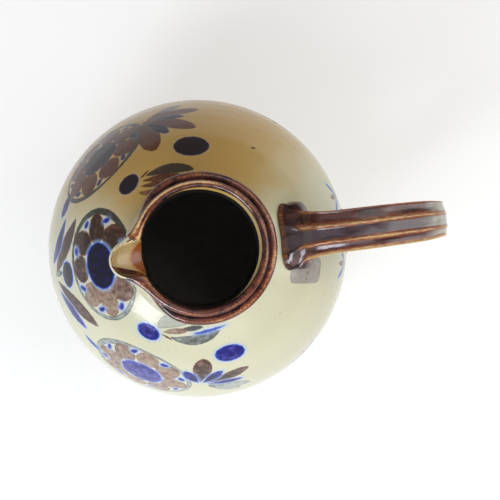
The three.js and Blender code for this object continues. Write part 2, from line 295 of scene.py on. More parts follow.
# %% From rows of points to a piece
def make_piece(name, grid, ends, numbers, materials, slots=None):
    """A smooth closed mesh object from rows of points in millimetres. Ends are the two points that
    close the first and last row, or None where the last row joins the first. Numbers are stored on
    the points, and slots give each strip of faces its material."""
    rows, columns = grid.shape[:2]
    strips = rows - 1 if ends else rows
    points = grid.reshape(-1, 3)
    faces = grid_faces(rows, columns, strips)
    face_slots = np.repeat(np.zeros(strips, int) if slots is None else slots, columns)
    values = {key: np.asarray(value, float).reshape(-1) for key, value in numbers.items()}
    if ends:
        points = np.vstack([points, ends])
        last = (rows - 1) * columns
        for i in range(columns):
            j = (i + 1) % columns
            faces.append([rows * columns, j, i])
            faces.append([rows * columns + 1, last + i, last + j])
        face_slots = np.append(face_slots, np.tile([face_slots[0], face_slots[-1]], columns))
        values = {key: np.append(value, [value[0], value[-1]]) for key, value in values.items()}
    fans = [(face[0], *face[i:i + 2]) for face in faces for i in range(1, len(face) - 1)]
    triangles = np.array(fans)
    volume = enclosed_volume(points, triangles)
    if volume < 0:
        faces = [face[::-1] for face in faces]
    mesh = bpy.data.meshes.new(name)
    mesh.from_pydata((points * MM).tolist(), [], faces)
    for key, value in values.items():
        mesh.attributes.new(key, "FLOAT", "POINT").data.foreach_set("value", value.astype(np.float32))
    for material in materials:
        mesh.materials.append(material)
    mesh.polygons.foreach_set("material_index", face_slots.astype(np.int32))
    mesh.polygons.foreach_set("use_smooth", np.ones(len(faces), bool))
    mesh.update()
    piece = bpy.data.objects.new(name, mesh)
    bpy.context.scene.collection.objects.link(piece)
    print(f"{name}: {len(triangles)} triangles round {abs(volume) / 1000:.0f} ml of clay")
    return piece


# %% [markdown]
# The body is thrown on a wheel, so it is a profile turned about the upright axis. The outside is
# two arcs that meet at the widest height: one rises to the seam under the neck, and one falls to
# the foot. The inside is the same arcs moved in by the wall. A wheel leaves faint rings, so the
# outside swells and sinks by a few hundredths of a millimetre as it climbs.
# The rows lie close together on the shoulder, where the painting is, and so do the columns on the
# spout side: fine brushwork needs points closer than the thinnest line is wide.

# %% Arcs of the thrown body
EQUATOR_HEIGHT = 76.0
SEAM_RADIUS = 34.0
WALL = 5.0
FLOOR = 8.0
FLOOR_FILLET = 11.0
FOOT_RADIUS = 43.0
FOOT_HEIGHT = 4.0
FOOT_STEP = 2.2
FOOT_BEVEL = 1.2
THROAT_RADIUS = 28.4
INNERMOST_RING = 1.5


def half_height_of_arc(end_radius, end_height):
    return (end_height - EQUATOR_HEIGHT) / math.sin(math.acos(end_radius / BODY_RADIUS))


UPPER_ARC = half_height_of_arc(SEAM_RADIUS, SEAM_HEIGHT)
LOWER_ARC = half_height_of_arc(FOOT_RADIUS + FOOT_STEP, FOOT_HEIGHT)


def arc_point(angle, half_height, offset=0.0):
    """Radius and height on an arc of the body, moved out along its normal by offset."""
    normal_radius = math.cos(angle) * abs(half_height)
    normal_height = math.sin(angle) * BODY_RADIUS * math.copysign(1, half_height)
    length = math.hypot(normal_radius, normal_height)
    radius = BODY_RADIUS * math.cos(angle) + normal_radius / length * offset
    height = EQUATOR_HEIGHT + half_height * math.sin(angle) + normal_height / length * offset
    return radius, height


print(f"upper arc {UPPER_ARC:.2f} mm high, lower arc {LOWER_ARC:.2f} mm")

# %% Rows of the outside and the foot
SHOULDER_ROWS, BELLY_ROWS = 132, 38
PAINTED_TO = math.radians(12)
THROWING_RING_PITCH = 8.5
THROWING_RING_DEPTH = 0.035


def throwing_ring(radius, height):
    """A row pushed out or in by the wheel's rings, which fade at the seam and at the foot."""
    wave = math.sin(2 * math.pi * height / THROWING_RING_PITCH + 1.3 * math.sin(height / 21))
    fade = smooth_step(SEAM_HEIGHT - height, 1, 12) * smooth_step(height, FOOT_HEIGHT, FOOT_HEIGHT + 9)
    return radius + THROWING_RING_DEPTH * wave * float(fade), height


def outside_rows():
    """Rows from the seam down the shoulder and the belly to the foot."""
    seam_angle = math.acos(SEAM_RADIUS / BODY_RADIUS)
    foot_angle = math.acos((FOOT_RADIUS + FOOT_STEP) / BODY_RADIUS)
    rows = [arc_point(a, UPPER_ARC) for a in np.linspace(seam_angle, PAINTED_TO, SHOULDER_ROWS)]
    rows += [arc_point(a, UPPER_ARC) for a in np.linspace(PAINTED_TO, 0, 6)[1:]]
    rows += [arc_point(a, LOWER_ARC) for a in np.linspace(0, foot_angle, BELLY_ROWS)[1:]]
    return [throwing_ring(radius, height) for radius, height in rows]


outside = outside_rows()
foot = [
    (FOOT_RADIUS + 0.8, FOOT_HEIGHT - 0.3),
    (FOOT_RADIUS + 0.2, FOOT_HEIGHT - 0.9),
    (FOOT_RADIUS, FOOT_HEIGHT - 1.8),
    (FOOT_RADIUS, FOOT_BEVEL + 0.3),
    (FOOT_RADIUS - 0.3, FOOT_BEVEL * 0.4),
    (FOOT_RADIUS - FOOT_BEVEL, 0.0),
]
underside = [(radius, 0.0) for radius in np.linspace(FOOT_RADIUS - FOOT_BEVEL, INNERMOST_RING, 9)[1:]]
print("rows: outside", len(outside), "foot", len(foot), "underside", len(underside))

# %% Rows of the inside
def inside_rows():
    """Rows from the middle of the floor, round the fillet, up the inner wall and out to the seam."""
    fillet_angle = math.asin((FLOOR + FLOOR_FILLET - EQUATOR_HEIGHT) / (LOWER_ARC + WALL))
    mouth_angle = math.acos(THROAT_RADIUS / (BODY_RADIUS - WALL))
    wall_radius = arc_point(fillet_angle, LOWER_ARC, -WALL)[0]
    floor_radius = wall_radius - 2 * FLOOR_FILLET
    rows = [(radius, FLOOR) for radius in np.linspace(INNERMOST_RING, floor_radius, 5)]
    for share in np.linspace(1, 0, 6)[1:-1]:
        rows.append((wall_radius - 2 * FLOOR_FILLET * share, FLOOR + FLOOR_FILLET * (1 - share) ** 2))
    rows += [arc_point(a, LOWER_ARC, -WALL) for a in np.linspace(fillet_angle, 0, 9)]
    rows += [arc_point(a, UPPER_ARC, -WALL) for a in np.linspace(0, mouth_angle, 10)[1:]]
    return rows + [(THROAT_RADIUS, SEAM_HEIGHT)]


BODY_COLUMNS = 440
SPOUT_CROWDING = 0.34
inside = inside_rows()
turns = np.arange(BODY_COLUMNS) / BODY_COLUMNS * 2 * math.pi
body_angles = turns - SPOUT_CROWDING * np.sin(turns)


def turn_profile(rows, angles):
    """Turns rows of (radius, height) about the axis. Angle 0 points to the spout."""
    radius, height = np.asarray(rows, float).T
    x = -np.outer(radius, np.cos(angles))
    y = -np.outer(radius, np.sin(angles))
    return np.stack([x, y, np.outer(height, np.ones(len(angles)))], axis=-1)


body_grid = turn_profile(inside + outside + foot + underside, body_angles)
outside_points = body_grid[len(inside):len(inside) + len(outside)].reshape(-1, 3)
print("points that paint can reach", len(outside_points), "of", body_grid.shape[0] * body_grid.shape[1])

# %% [markdown]
# Before any paint is laid, each point of the outside gets its place on the body as a potter would
# give it: a bearing round the jug and a fall from its top. A motif has a middle, and every point
# near it gets two lengths in millimetres on the curved surface: sideways round the jug, and down
# it. A motif can then be drawn flat, like on paper, and still lies on the clay without stretch.

# %% Paper that wraps the body
unit_points = outside_points - np.array([0.0, 0.0, EQUATOR_HEIGHT])
unit_points /= np.linalg.norm(unit_points, axis=1, keepdims=True)


def motif_paper(bearing, fall, turn=0.0):
    """Every outside point as (sideways, down) from a motif's middle, turned by an angle in degrees."""
    b, f, t = math.radians(bearing), math.radians(fall), math.radians(turn)
    middle = np.array([math.sin(f) * math.cos(b), math.sin(f) * math.sin(b), math.cos(f)])
    sideways = np.array([-math.sin(b), math.cos(b), 0.0])
    downwards = np.array([math.cos(f) * math.cos(b), math.cos(f) * math.sin(b), -math.sin(f)])
    away = np.arccos(np.clip(unit_points @ middle, -1, 1)) * BODY_RADIUS
    flat = np.stack([unit_points @ sideways, unit_points @ downwards])
    flat *= away / np.maximum(np.linalg.norm(flat, axis=0), 1e-9)
    across = flat[0] * math.cos(t) + flat[1] * math.sin(t)
    down = flat[1] * math.cos(t) - flat[0] * math.sin(t)
    return across, down


spout_paper = motif_paper(180.0, 45.0)
print("points within 20 mm of a place above the spout side:", int((np.hypot(*spout_paper) < 20).sum()))

# %% [markdown]
# Four colours were brushed on: cobalt blue, an iron brown, a grey-green slate line and a thin
# grey film. Each is kept as a distance field: for every point, how many millimetres it lies
# outside the nearest edge of that paint, or inside it (then the number is negative). A field gives
# a clean edge between points, and the material can make the edge ragged, give the stroke a rim
# of another tone, or let it bleed. A second field keeps how thinly the brush was loaded there.

# %% Fields of paint
PAINTS = ("cobalt", "iron", "slate", "film")
FAR_AWAY = 30.0
edge_field = {paint: np.full(len(outside_points), FAR_AWAY) for paint in PAINTS}
thin_field = {paint: np.full(len(outside_points), 0.5) for paint in PAINTS}
brush_hand = np.random.default_rng(7)


def lay(paint, distance, thin=0.5):
    """Adds a mark to a paint's field where it lies nearer than the marks before."""
    nearer = distance < edge_field[paint]
    edge_field[paint][nearer] = distance[nearer]
    thin_field[paint][nearer] = np.broadcast_to(thin, distance.shape)[nearer]


print("paints", PAINTS)

# %% Brushes
def dab(paper, middle, half_sizes, turn=0.0):
    """Distance to the edge of an oval dab."""
    t = math.radians(turn)
    x, y = paper[0] - middle[0], paper[1] - middle[1]
    along = (x * math.cos(t) + y * math.sin(t)) / half_sizes[0]
    across = (y * math.cos(t) - x * math.sin(t)) / half_sizes[1]
    level = np.sqrt(along ** 2 + across ** 2) + 1e-6
    slope = np.sqrt((along / half_sizes[0]) ** 2 + (across / half_sizes[1]) ** 2) + 1e-6
    return level * (level - 1) / slope


def stroke(paper, start, bend, end, half_width, belly=0.5, steps=14):
    """Distance to a stroke along a bent line, and how far along it each point lies, from 0 to 1.
    The stroke is widest at the share of its length called belly."""
    nearest = np.full(len(paper[0]), FAR_AWAY)
    along = np.zeros(len(paper[0]))
    shares = np.linspace(0, 1, steps + 1)
    line = bent_line(start, bend, end, steps)
    power = math.log(0.5) / math.log(belly)
    widths = half_width * (0.12 + 0.88 * np.sin(math.pi * shares ** power) ** 0.75)
    for i in range(steps):
        (ax, ay), (bx, by) = line[i], line[i + 1]
        dx, dy = bx - ax, by - ay
        t = np.clip(((paper[0] - ax) * dx + (paper[1] - ay) * dy) / (dx * dx + dy * dy), 0, 1)
        gap = np.hypot(paper[0] - ax - t * dx, paper[1] - ay - t * dy) - mix(widths[i], widths[i + 1], t)
        closer = gap < nearest
        nearest[closer] = gap[closer]
        along[closer] = mix(shares[i], shares[i + 1], t)[closer]
    return nearest, along


two_places = (np.array([1.0, 5.0]), np.zeros(2))
print("edge of a 3 mm dab, from 1 and 5 mm off its middle:", dab(two_places, (0, 0), (3, 3)).round(2))

# %% [markdown]
# The round flower is an old folk ornament: a blue disc, eight brown petals round it, blue dots
# between their tips and a dark ring about them all. It is drawn by one function, because the jug
# has three of them, and a small shake of the hand keeps them from being copies.

# %% Round flowers
PETALS = 8
RING_LINE = 1.2
DISC_SHARES = (0.43, 0.45)
PETAL_SHARES = (0.675, 0.70)
PETAL_LENGTH, PETAL_WIDTH = 0.50, 0.485
DOT_SHARE = 0.86


def round_flower(bearing, fall, half_sizes, thins, turn=0.0):
    """Thins says how thin the petals' paint is on the side of lesser bearing, and on the other."""
    half_width, half_height = half_sizes
    paper = motif_paper(bearing, fall, turn)
    disc = [share * half for share, half in zip(DISC_SHARES, half_sizes)]
    petal_ring = [share * half for share, half in zip(PETAL_SHARES, half_sizes)]
    lay("cobalt", dab(paper, (0, 0), disc), 0.9 * thins[0])
    for petal in range(PETALS):
        angle = 2 * math.pi * petal / PETALS + brush_hand.normal(0, 0.035)
        way = (math.cos(angle), math.sin(angle))
        middle = (petal_ring[0] * way[0], petal_ring[1] * way[1])
        room = math.hypot((half_width - disc[0]) * way[0], (half_height - disc[1]) * way[1])
        spacing = 2 * math.pi / PETALS * math.hypot(petal_ring[0] * way[1], petal_ring[1] * way[0])
        petal_sizes = (PETAL_LENGTH * room, PETAL_WIDTH * spacing * brush_hand.uniform(0.94, 1.04))
        direction = math.degrees(math.atan2(middle[1], middle[0]))
        thin = mix(*thins, float(smooth_step(way[0], -0.2, 0.9))) + brush_hand.uniform(-0.1, 0.1)
        lay("iron", dab(paper, middle, petal_sizes, direction), thin)
        gap = angle + math.pi / PETALS
        place = (DOT_SHARE * half_width * math.cos(gap), DOT_SHARE * half_height * math.sin(gap))
        lay("cobalt", dab(paper, place, (2.3, 1.4), math.degrees(gap) + 60), 0.6)
    ring = dab(paper, (0, 0), half_sizes)
    around = np.arctan2(paper[1], paper[0])
    swell = 0.25 * np.cos(2 * around) - 0.22 * np.cos(around) - 0.12 * np.sin(3 * around)
    line = RING_LINE * (1 + swell)
    lay("slate", np.abs(ring) - line, mix(*thins, smooth_step(np.cos(around), -0.6, 0.8)))


round_flower(183.0, 37.5, (28.3, 20.6), (0.15, 0.8))
round_flower(131.0, 57.5, (26.8, 20.2), (0.2, 0.25), turn=2)
round_flower(237.8, 59.3, (26.8, 20.6), (0.8, 0.9), turn=2)
print("flower points under cobalt", int((edge_field["cobalt"] < 0).sum()))

# %% [markdown]
# Between the flowers, fans of strokes spring from one point, as a brush makes them when it is
# pressed down and pulled away. Each stroke of a fan has its paint, an angle from straight up,
# where it starts and ends, its half width and how thin its paint is. The spray at the front is
# laid stroke by stroke, each through three places: its start, its middle and its end.

# %% Strokes of the fans
LEFT_FAN = [
    ("iron", 88, 2, 31, 4.0, 0.25),
    ("cobalt", 71, 6, 23, 2.2, 0.35),
    ("iron", 50, 2, 32, 4.6, 0.20),
    ("cobalt", 27, 5, 22, 2.9, 0.30),
    ("iron", -1, 3, 28, 6.0, 0.25),
    ("slate", 38, 0, 17, 4.6, 0.25),
    ("slate", -34, 2, 17, 3.4, 0.30),
    ("slate", 112, 4, 25, 3.2, 0.50),
]
RIGHT_FAN = [
    ("cobalt", -33, 2, 15, 3.0, 0.45),
    ("iron", 4, 3, 23, 5.2, 0.30),
    ("cobalt", 42, 2, 17, 2.8, 0.35),
    ("iron", 66, 4, 28, 3.9, 0.20),
    ("cobalt", 88, 4, 23, 2.1, 0.40),
    ("slate", 107, 5, 29, 3.6, 0.90),
    ("slate", 122, 5, 27, 3.0, 0.95),
]
FRONT_STROKES = [
    ("iron", (-27.8, -15.8), (-15.3, -6.8), (-2.7, 9.1), 4.6, 0.15),
    ("cobalt", (-29.3, -4.9), (-17.7, 1.6), (-7.3, 13.2), 3.4, 0.35),
    ("iron", (3.1, 9.8), (16.6, -4.6), (30.6, -15.7), 4.6, 0.25),
    ("cobalt", (8.6, 10.6), (19.7, 3.2), (30.8, -3.2), 3.5, 0.50),
    ("cobalt", (-43.5, -4.6), (-37.0, -2.4), (-31.5, 0.6), 3.4, 0.45),
    ("cobalt", (35.1, 3.4), (40.4, 2.0), (45.6, -0.6), 2.2, 0.55),
    ("slate", (-1.0, 1.0), (-1.2, 6.0), (-0.5, 12.0), 1.8, 0.60),
]
print("strokes", len(LEFT_FAN), len(RIGHT_FAN), len(FRONT_STROKES))

# %% Lay the fans
def through(start, middle, end):
    """Where a bent line must pull to, so that it runs through a middle place."""
    return tuple(2 * m - (a + b) / 2 for a, m, b in zip(start, middle, end))


def fan(bearing, fall, way, strokes):
    """A fan of strokes from one point. Way is 1 or -1, for the two sides of the jug."""
    paper = motif_paper(bearing, fall)
    for paint, angle, start, end, half_width, thin in strokes:
        lean = math.radians(angle)
        out = (way * math.sin(lean), -math.cos(lean))
        ends = [(out[0] * reach, out[1] * reach) for reach in (start, (start + end) / 2, end)]
        distance, along = stroke(paper, *ends, half_width, belly=0.62)
        lay(paint, distance, np.clip(thin + 0.5 * (along - 0.5), 0, 1))


fan(107.4, 60.3, -1, LEFT_FAN)
fan(263.3, 58.5, 1, RIGHT_FAN)
front_paper = motif_paper(184.0, 60.0)
for paint, start, middle, end, half_width, thin in FRONT_STROKES:
    distance, along = stroke(front_paper, start, through(start, middle, end), end, half_width, belly=0.55)
    lay(paint, distance, np.clip(thin + 0.4 * (along - 0.5), 0, 1))
lay("cobalt", dab(front_paper, (0.3, -4.9), (7.2, 5.6), 19), -0.2)
print("points under iron", int((edge_field["iron"] < 0).sum()))

# %% [markdown]
# Higher on the shoulder, a berry with a few leaves lies on each side, and a single berry behind
# it. The leaves are bent strokes, fat in the middle. On the left side of the jug one thin blue
# line was added beside them.

# %% Berries and leaves
UPPER_LEAVES = [
    ("slate", (-3.9, -0.7), (8.5, -4.4), (18.6, -11.0), 3.1, 0.15),
    ("iron", (-6.5, -2.1), (0.8, -5.6), (11.0, -9.8), 1.7, 0.45),
    ("iron", (-8.8, -4.2), (-3.1, -7.3), (4.5, -10.0), 1.4, 0.60),
    ("iron", (-11.2, -6.3), (-8.0, -9.4), (-2.0, -11.0), 1.5, 0.80),
]
LOWER_LEAVES = [
    ("slate", (-1.5, 0.2), (10.6, -2.0), (21.0, -10.3), 3.3, 0.45),
    ("iron", (-6.0, -1.8), (-0.5, -4.3), (6.0, -6.9), 1.8, 0.90),
    ("slate", (1.5, -5.8), (7.0, -8.4), (12.5, -10.9), 1.6, 0.10),
    ("slate", (-9.0, -3.4), (-4.5, -9.4), (5.5, -12.0), 3.9, 1.25),
]


def sprig(bearing, fall, way, leaves, berry_thin):
    """A berry with leaves that point round the jug. Way is 1 or -1, for the two sides of the jug."""
    paper = motif_paper(bearing, fall)
    mirrored = (paper[0] * way, paper[1])
    lay("cobalt", dab(mirrored, (-13.6, 1.4), (6.2, 4.9), 14), berry_thin)
    for paint, start, middle, end, half_width, thin in leaves:
        distance, along = stroke(mirrored, start, through(start, middle, end), end, half_width, belly=0.55)
        lay(paint, distance, thin + 0.3 * (0.5 - along))
    lay("iron", stroke(mirrored, (-7.5, -0.2), (-3.5, 0.6), (-0.8, 1.6), 0.6)[0], 0.6)
    return mirrored


sprig(115.0, 33.0, -1, UPPER_LEAVES, 0.1)
with_line = sprig(247.0, 34.0, 1, LOWER_LEAVES, 0.55)
lay("cobalt", stroke(with_line, (8.0, -5.2), (16.0, -8.8), (24.0, -14.4), 0.9)[0], 0.6)

BERRIES = [(88.0, 38.5, (9.2, 6.8), 6, 0.1), (279.0, 41.5, (8.0, 6.1), 8, 0.6)]
for bearing, fall, half_sizes, turn, thin in BERRIES:
    lay("cobalt", dab(motif_paper(bearing, fall), (0, 0), half_sizes, turn), thin)

# A speck of iron that burnt through the glaze
lay("iron", dab(motif_paper(55.2, 44.0), (0, 0), (1.5, 0.8), 150), 0.3)
print("points under slate", int((edge_field["slate"] < 0).sum()))

# %% [markdown]
# The camera does not see the lower half of the jug. Such jugs carry a few plain strokes there, so
# a loose row of blue and brown strokes goes round the belly, in pairs that lean towards each
# other. The pairs beside the handle are the ones whose tips just show at the edge of the picture.

# %% Strokes round the belly
BELLY_PAIRS = [(14.0, 70.0), (347.0, 69.5), (52.0, 78.0), (308.0, 78.0), (84.0, 88.0), (277.0, 90.0),
               (131.0, 92.0), (236.0, 93.0), (184.0, 96.0)]
for bearing, fall in BELLY_PAIRS:
    paper = motif_paper(bearing, fall)
    for way in (-1, 1):
        lay("cobalt", stroke(paper, (way * 1.5, 6.0), (way * 3.5, 0.0), (way * 9.0, -6.5), 1.5)[0], 0.55)
    distance, along = stroke(paper, (0.0, 9.0), (0.3, 2.0), (0.0, -8.5), 1.7)
    lay("iron", distance, np.clip(0.2 + 0.5 * along, 0, 1))
print("belly pairs", len(BELLY_PAIRS))

# %% [markdown]
# The wad of clay under the handle was dipped in the brown glaze, and some of it ran on to the
# body as a thin, greyish film. It is painted like the rest, with a field of its own.

# %% Thin glaze beside the handle
def patch(paper, middle, half_sizes, turn, corner):
    """Distance to the edge of a rectangle with rounded corners."""
    t = math.radians(turn)
    x, y = paper[0] - middle[0], paper[1] - middle[1]
    across = np.abs(x * math.cos(t) + y * math.sin(t)) - half_sizes[0] + corner
    down = np.abs(y * math.cos(t) - x * math.sin(t)) - half_sizes[1] + corner
    outside_it = np.hypot(np.maximum(across, 0), np.maximum(down, 0))
    return outside_it + np.minimum(np.maximum(across, down), 0) - corner


wad_paper = motif_paper(340.0, 41.0)
lay("film", patch(wad_paper, (1.2, 1.2), (6.8, 11.5), -9.5, 3.2), 0.45)
lay("film", dab(motif_paper(17.5, 38.0), (0, 0), (2.6, 4.2), 10), 0.8)
lay("slate", stroke(wad_paper, (-6.0, 2.6), (-2.0, 2.2), (2.0, 1.6), 0.35)[0], 0.9)
print("points under the film", int((edge_field["film"] < 0).sum()))

# %% [markdown]
# The body wears a cream tin-and-feldspar glaze, poured and fired to a gloss. The eye sees a warm
# ivory, a soft gloss with the faint ripple of orange peel, and sparse specks of iron. On the side
# away from the lamps the cream is painted a darker golden brown: that is painted shade. Glass has
# an IOR near 1.5 and a glossy glaze a roughness of 0.1 to 0.2. The ripple is 2.4 mm wide with a
# finer one of 1.1 mm on it, and a few hundredths of a millimetre deep.

# %% Painted shade and cream
CREAM = linear("#c6c4a7")
# Painted shade: the cream is painted this darker golden brown on the side away from the lamps
SIDE_SHADE_GOLD = linear("#b69453")
SPECK = linear("#7d5a3c")
SPECK_SIZE = 1.3
# Painted shade: the bearing of the side that is painted darker, and how its edge wanders
SIDE_SHADE_BEARING = math.radians(92)
SIDE_SHADE_PATCHES, SIDE_SHADE_SWING = 26.0, 0.4
SIDE_SHADE_FROM, SIDE_SHADE_TO = 0.16, 0.86


def out_from_the_axis(tree):
    """The level direction from the jug's axis to each point."""
    place = add_node(tree, "TexCoord", output="Object")
    flat = add_node(tree, "VectorMath", (place, (1.0, 1.0, 0.0)), operation="MULTIPLY")
    return add_node(tree, "VectorMath", (flat,), operation="NORMALIZE")


def side_shade_share(tree):
    """How much painted shade the cream gets: 1 on the side away from the lamps, falling to 0 beside it."""
    shaded_side = (math.cos(SIDE_SHADE_BEARING), math.sin(SIDE_SHADE_BEARING), 0.0)
    sockets = (out_from_the_axis(tree), shaded_side)
    facing = add_node(tree, "VectorMath", sockets, "Value", operation="DOT_PRODUCT")
    facing = uneven(tree, facing, grain(tree, SIDE_SHADE_PATCHES), SIDE_SHADE_SWING)
    return add_node(tree, "MapRange", (facing, SIDE_SHADE_FROM, SIDE_SHADE_TO), **SMOOTH)


def cream_colour(tree, in_shade):
    specks = add_node(tree, "MapRange", (grain(tree, SPECK_SIZE, 0.0), 0.80, 0.86, 0.0, 0.5), **SMOOTH)
    # Painted shade first, then specks of iron
    return layered(tree, CREAM, [(in_shade, SIDE_SHADE_GOLD), (specks, SPECK)])


# Painted shade: the bearing printed is that of the side painted darker
print("the flame came from bearing", round(math.degrees(SIDE_SHADE_BEARING)))

# %% Gloss
GLAZE_IOR = 1.5
WIDE_RIPPLE, FINE_RIPPLE = 2.4, 1.1
FINE_SHARE = 0.8
CREAM_RIPPLE, IRON_RIPPLE, INSIDE_RIPPLE = 0.06, 0.03, 0.02
# Size of the patches in millimetres, and the least and greatest roughness
CREAM_GLOSS, RIM_GLOSS, STRAP_GLOSS = (12.0, 0.12, 0.2), (7.0, 0.07, 0.13), (7.0, 0.14, 0.24)


def orange_peel(tree, depth):
    """Normals of a glaze that rippled as it melted, so many millimetres deep."""
    wide, fine = grain(tree, WIDE_RIPPLE), grain(tree, FINE_RIPPLE, shift=0.3)
    height = add_node(tree, "Math", (fine, FINE_SHARE, wide), operation="MULTIPLY_ADD")
    return add_node(tree, "Bump", {"Strength": 1.0, "Distance": depth * MM, "Height": height})


def patchy(tree, millimetres, low, high):
    """A roughness that wanders between two levels, in patches of a real size."""
    return add_node(tree, "MapRange", (grain(tree, millimetres), 0.3, 0.7, low, high), **SMOOTH)


def fired_surface(tree, colour, roughness, normal, ior=GLAZE_IOR, mirror=0.5):
    """Mirror is how much of its reflection the surface shows. The usual level is 0.5."""
    sockets = {"Base Color": colour, "Roughness": roughness, "IOR": ior, "Normal": normal}
    sockets["Specular IOR Level"] = mirror
    shader = add_node(tree, "BsdfPrincipled", sockets)
    add_node(tree, "OutputMaterial", {"Surface": shader})


print("ripples", WIDE_RIPPLE, "and", FINE_RIPPLE, "mm wide,", CREAM_RIPPLE, "mm deep on the cream")

# %% [markdown]
# The painting lies under the glaze, so one material holds both. Each paint is laid over the colour
# below it: its field, made ragged by a fine noise, says where it covers, a rim shows where the
# colour gathered at the edge of the wet stroke, and thin paint lets the cream through.
# Cobalt is navy where it is thick and bright blue at its rim, and it bleeds a pale halo. The iron
# brown breaks to rust at its edge. The slate line is dry and broken, with a green cast. On the side
# away from the lamps every paint is painted darker and duller, the iron rustier, and rims and the
# cobalt's halo fade: that is painted shade, like the cream's.

# %% Tones of the paints
HALO = linear("#9db4d6")
HALO_REACH = 2.4
RAGGED_SIZE, RAGGED_BY = 1.8, 0.9
STREAK_SIZE, STREAKS_BY = 2.6, 1.3
EDGE_SOFTNESS = 0.28
# Thick paint, thin paint, its rim, the same paint in painted shade, and how well it covers
PAINT_TONES = {
    "film": ("#857e80", "#a39c98", "#8a8284", "#857e80", 0.80),
    "slate": ("#1d2424", "#8f9896", "#33413f", "#332a29", 0.94),
    "iron": ("#2e1715", "#8a6b5d", "#653524", "#5a2a12", 0.97),
    "cobalt": ("#0c0822", "#241e96", "#1f55c8", "#1f1719", 0.98),
}
print("paints from the lowest up", list(PAINT_TONES))

# %% Painted cream glaze
def brush_on(tree, under, paint, in_shade):
    """Lays one paint over the colour below it."""
    dense, thin, rim, shaded_tone = (linear(tone) for tone in PAINT_TONES[paint][:4])
    cover = PAINT_TONES[paint][4]
    edge = add_node(tree, "Attribute", output="Fac", attribute_name=f"{paint}_edge")
    distance = uneven(tree, edge, grain(tree, RAGGED_SIZE, 3.0, shift=len(paint)), RAGGED_BY)
    load = add_node(tree, "Attribute", output="Fac", attribute_name=f"{paint}_thin")
    thinness = uneven(tree, load, grain(tree, STREAK_SIZE, 3.0, shift=0.7), STREAKS_BY)
    thinned = add_node(tree, "MapRange", (thinness, 0.1, 1.0), **SMOOTH)
    # Painted shade: away from the lamps the paint takes its darker tone and loses its rim and halo
    darkened = add_node(tree, "MapRange", (in_shade, 0.0, 0.7, 0.0, 0.75), **SMOOTH)
    at_rim = add_node(tree, "MapRange", (distance, -1.1, -0.1), **SMOOTH)
    unshaded = add_node(tree, "MapRange", (in_shade, 0.1, 0.6, 0.8, 0.1), **SMOOTH)
    gathered = add_node(tree, "Math", (at_rim, unshaded), operation="MULTIPLY")
    colour = layered(tree, dense, [(thinned, thin), (darkened, shaded_tone), (gathered, rim)])
    if paint == "cobalt":
        near = add_node(tree, "MapRange", (distance, HALO_REACH, 0.0, 0.0, 0.5), **SMOOTH)
        out_of_shade = add_node(tree, "MapRange", (in_shade, 0.0, 0.6, 1.0, 0.1), **SMOOTH)
        bleed = add_node(tree, "Math", (near, out_of_shade), operation="MULTIPLY")
        under = layered(tree, under, [(bleed, HALO)])
    sockets = (distance, EDGE_SOFTNESS, -EDGE_SOFTNESS, 0.0, cover)
    covered = add_node(tree, "MapRange", sockets, **SMOOTH)
    dense_enough = add_node(tree, "MapRange", (thinness, 0.5, 1.5, 1.0, 0.55), **SMOOTH)
    opaque = add_node(tree, "Math", (covered, dense_enough), operation="MULTIPLY")
    return layered(tree, under, [(opaque, colour)])


def painted_cream_glaze():
    material = new_material("painted_cream_stoneware_glaze")
    tree = material.node_tree
    in_shade = side_shade_share(tree)
    colour = cream_colour(tree, in_shade)
    for paint in PAINT_TONES:
        colour = brush_on(tree, colour, paint, in_shade)
    fired_surface(tree, colour, patchy(tree, *CREAM_GLOSS), orange_peel(tree, CREAM_RIPPLE))
    return material


painted_cream = painted_cream_glaze()
print("nodes in the painted glaze", len(painted_cream.node_tree.nodes))

# %% [markdown]
# The inside of the jug is painted shade rather than a glaze of its own: the throat is painted
# almost black, and deeper in the body it is a grey that so little light reaches that it looks black
# too. The foot is left bare so that it does not stick to the kiln shelf: there the buff clay shows,
# dull and sandy, with the curved scratches of the wire that cut the pot from the wheel.

# %% Painted shade inside and bare clay
# Painted shade: the almost black of the throat, and the grey of the deep inside
THROAT_PAINTED_SHADE = linear("#201e1d")
DEEP_PAINTED_SHADE = linear("#a5a19c")
INSIDE_MOTTLE = 0.75
INSIDE_ROUGHNESS, INSIDE_MIRROR = 0.75, 0.12
BARE_CLAY = linear("#b89d7c")
BURNT_CLAY = linear("#8f6f50")
CLAY_ROUGHNESS = 0.85
WIRE_PITCH, WIRE_DEPTH = 14.0, 0.12
SAND_SIZE, SAND_SHARE = 0.6, 0.6


def painted_shade_glaze(name, tone):
    material = new_material(name)
    tree = material.node_tree
    shade = [INSIDE_MOTTLE * channel for channel in tone[:3]] + [1.0]
    colour = layered(tree, tone, [(grain(tree, 8.0), shade)])
    fired_surface(tree, colour, INSIDE_ROUGHNESS, orange_peel(tree, INSIDE_RIPPLE), mirror=INSIDE_MIRROR)
    return material


def bare_buff_clay():
    material = new_material("bare_buff_clay")
    tree = material.node_tree
    burnt = add_node(tree, "MapRange", (grain(tree, 14.0), 0.35, 0.75), **SMOOTH)
    colour = layered(tree, BARE_CLAY, [(burnt, BURNT_CLAY)])
    place = add_node(tree, "TexCoord", output="Object")
    wave = {"Vector": place, "Scale": TO_MM / WIRE_PITCH, "Distortion": 2.5, "Detail": 2.0}
    wire = add_node(tree, "TexWave", wave, "Fac", wave_type="RINGS", rings_direction="X")
    sand = (grain(tree, SAND_SIZE, 4.0), SAND_SHARE, wire)
    height = add_node(tree, "Math", sand, operation="MULTIPLY_ADD")
    normal = add_node(tree, "Bump", {"Strength": 1.0, "Distance": WIRE_DEPTH * MM, "Height": height})
    fired_surface(tree, colour, CLAY_ROUGHNESS, normal)
    return material


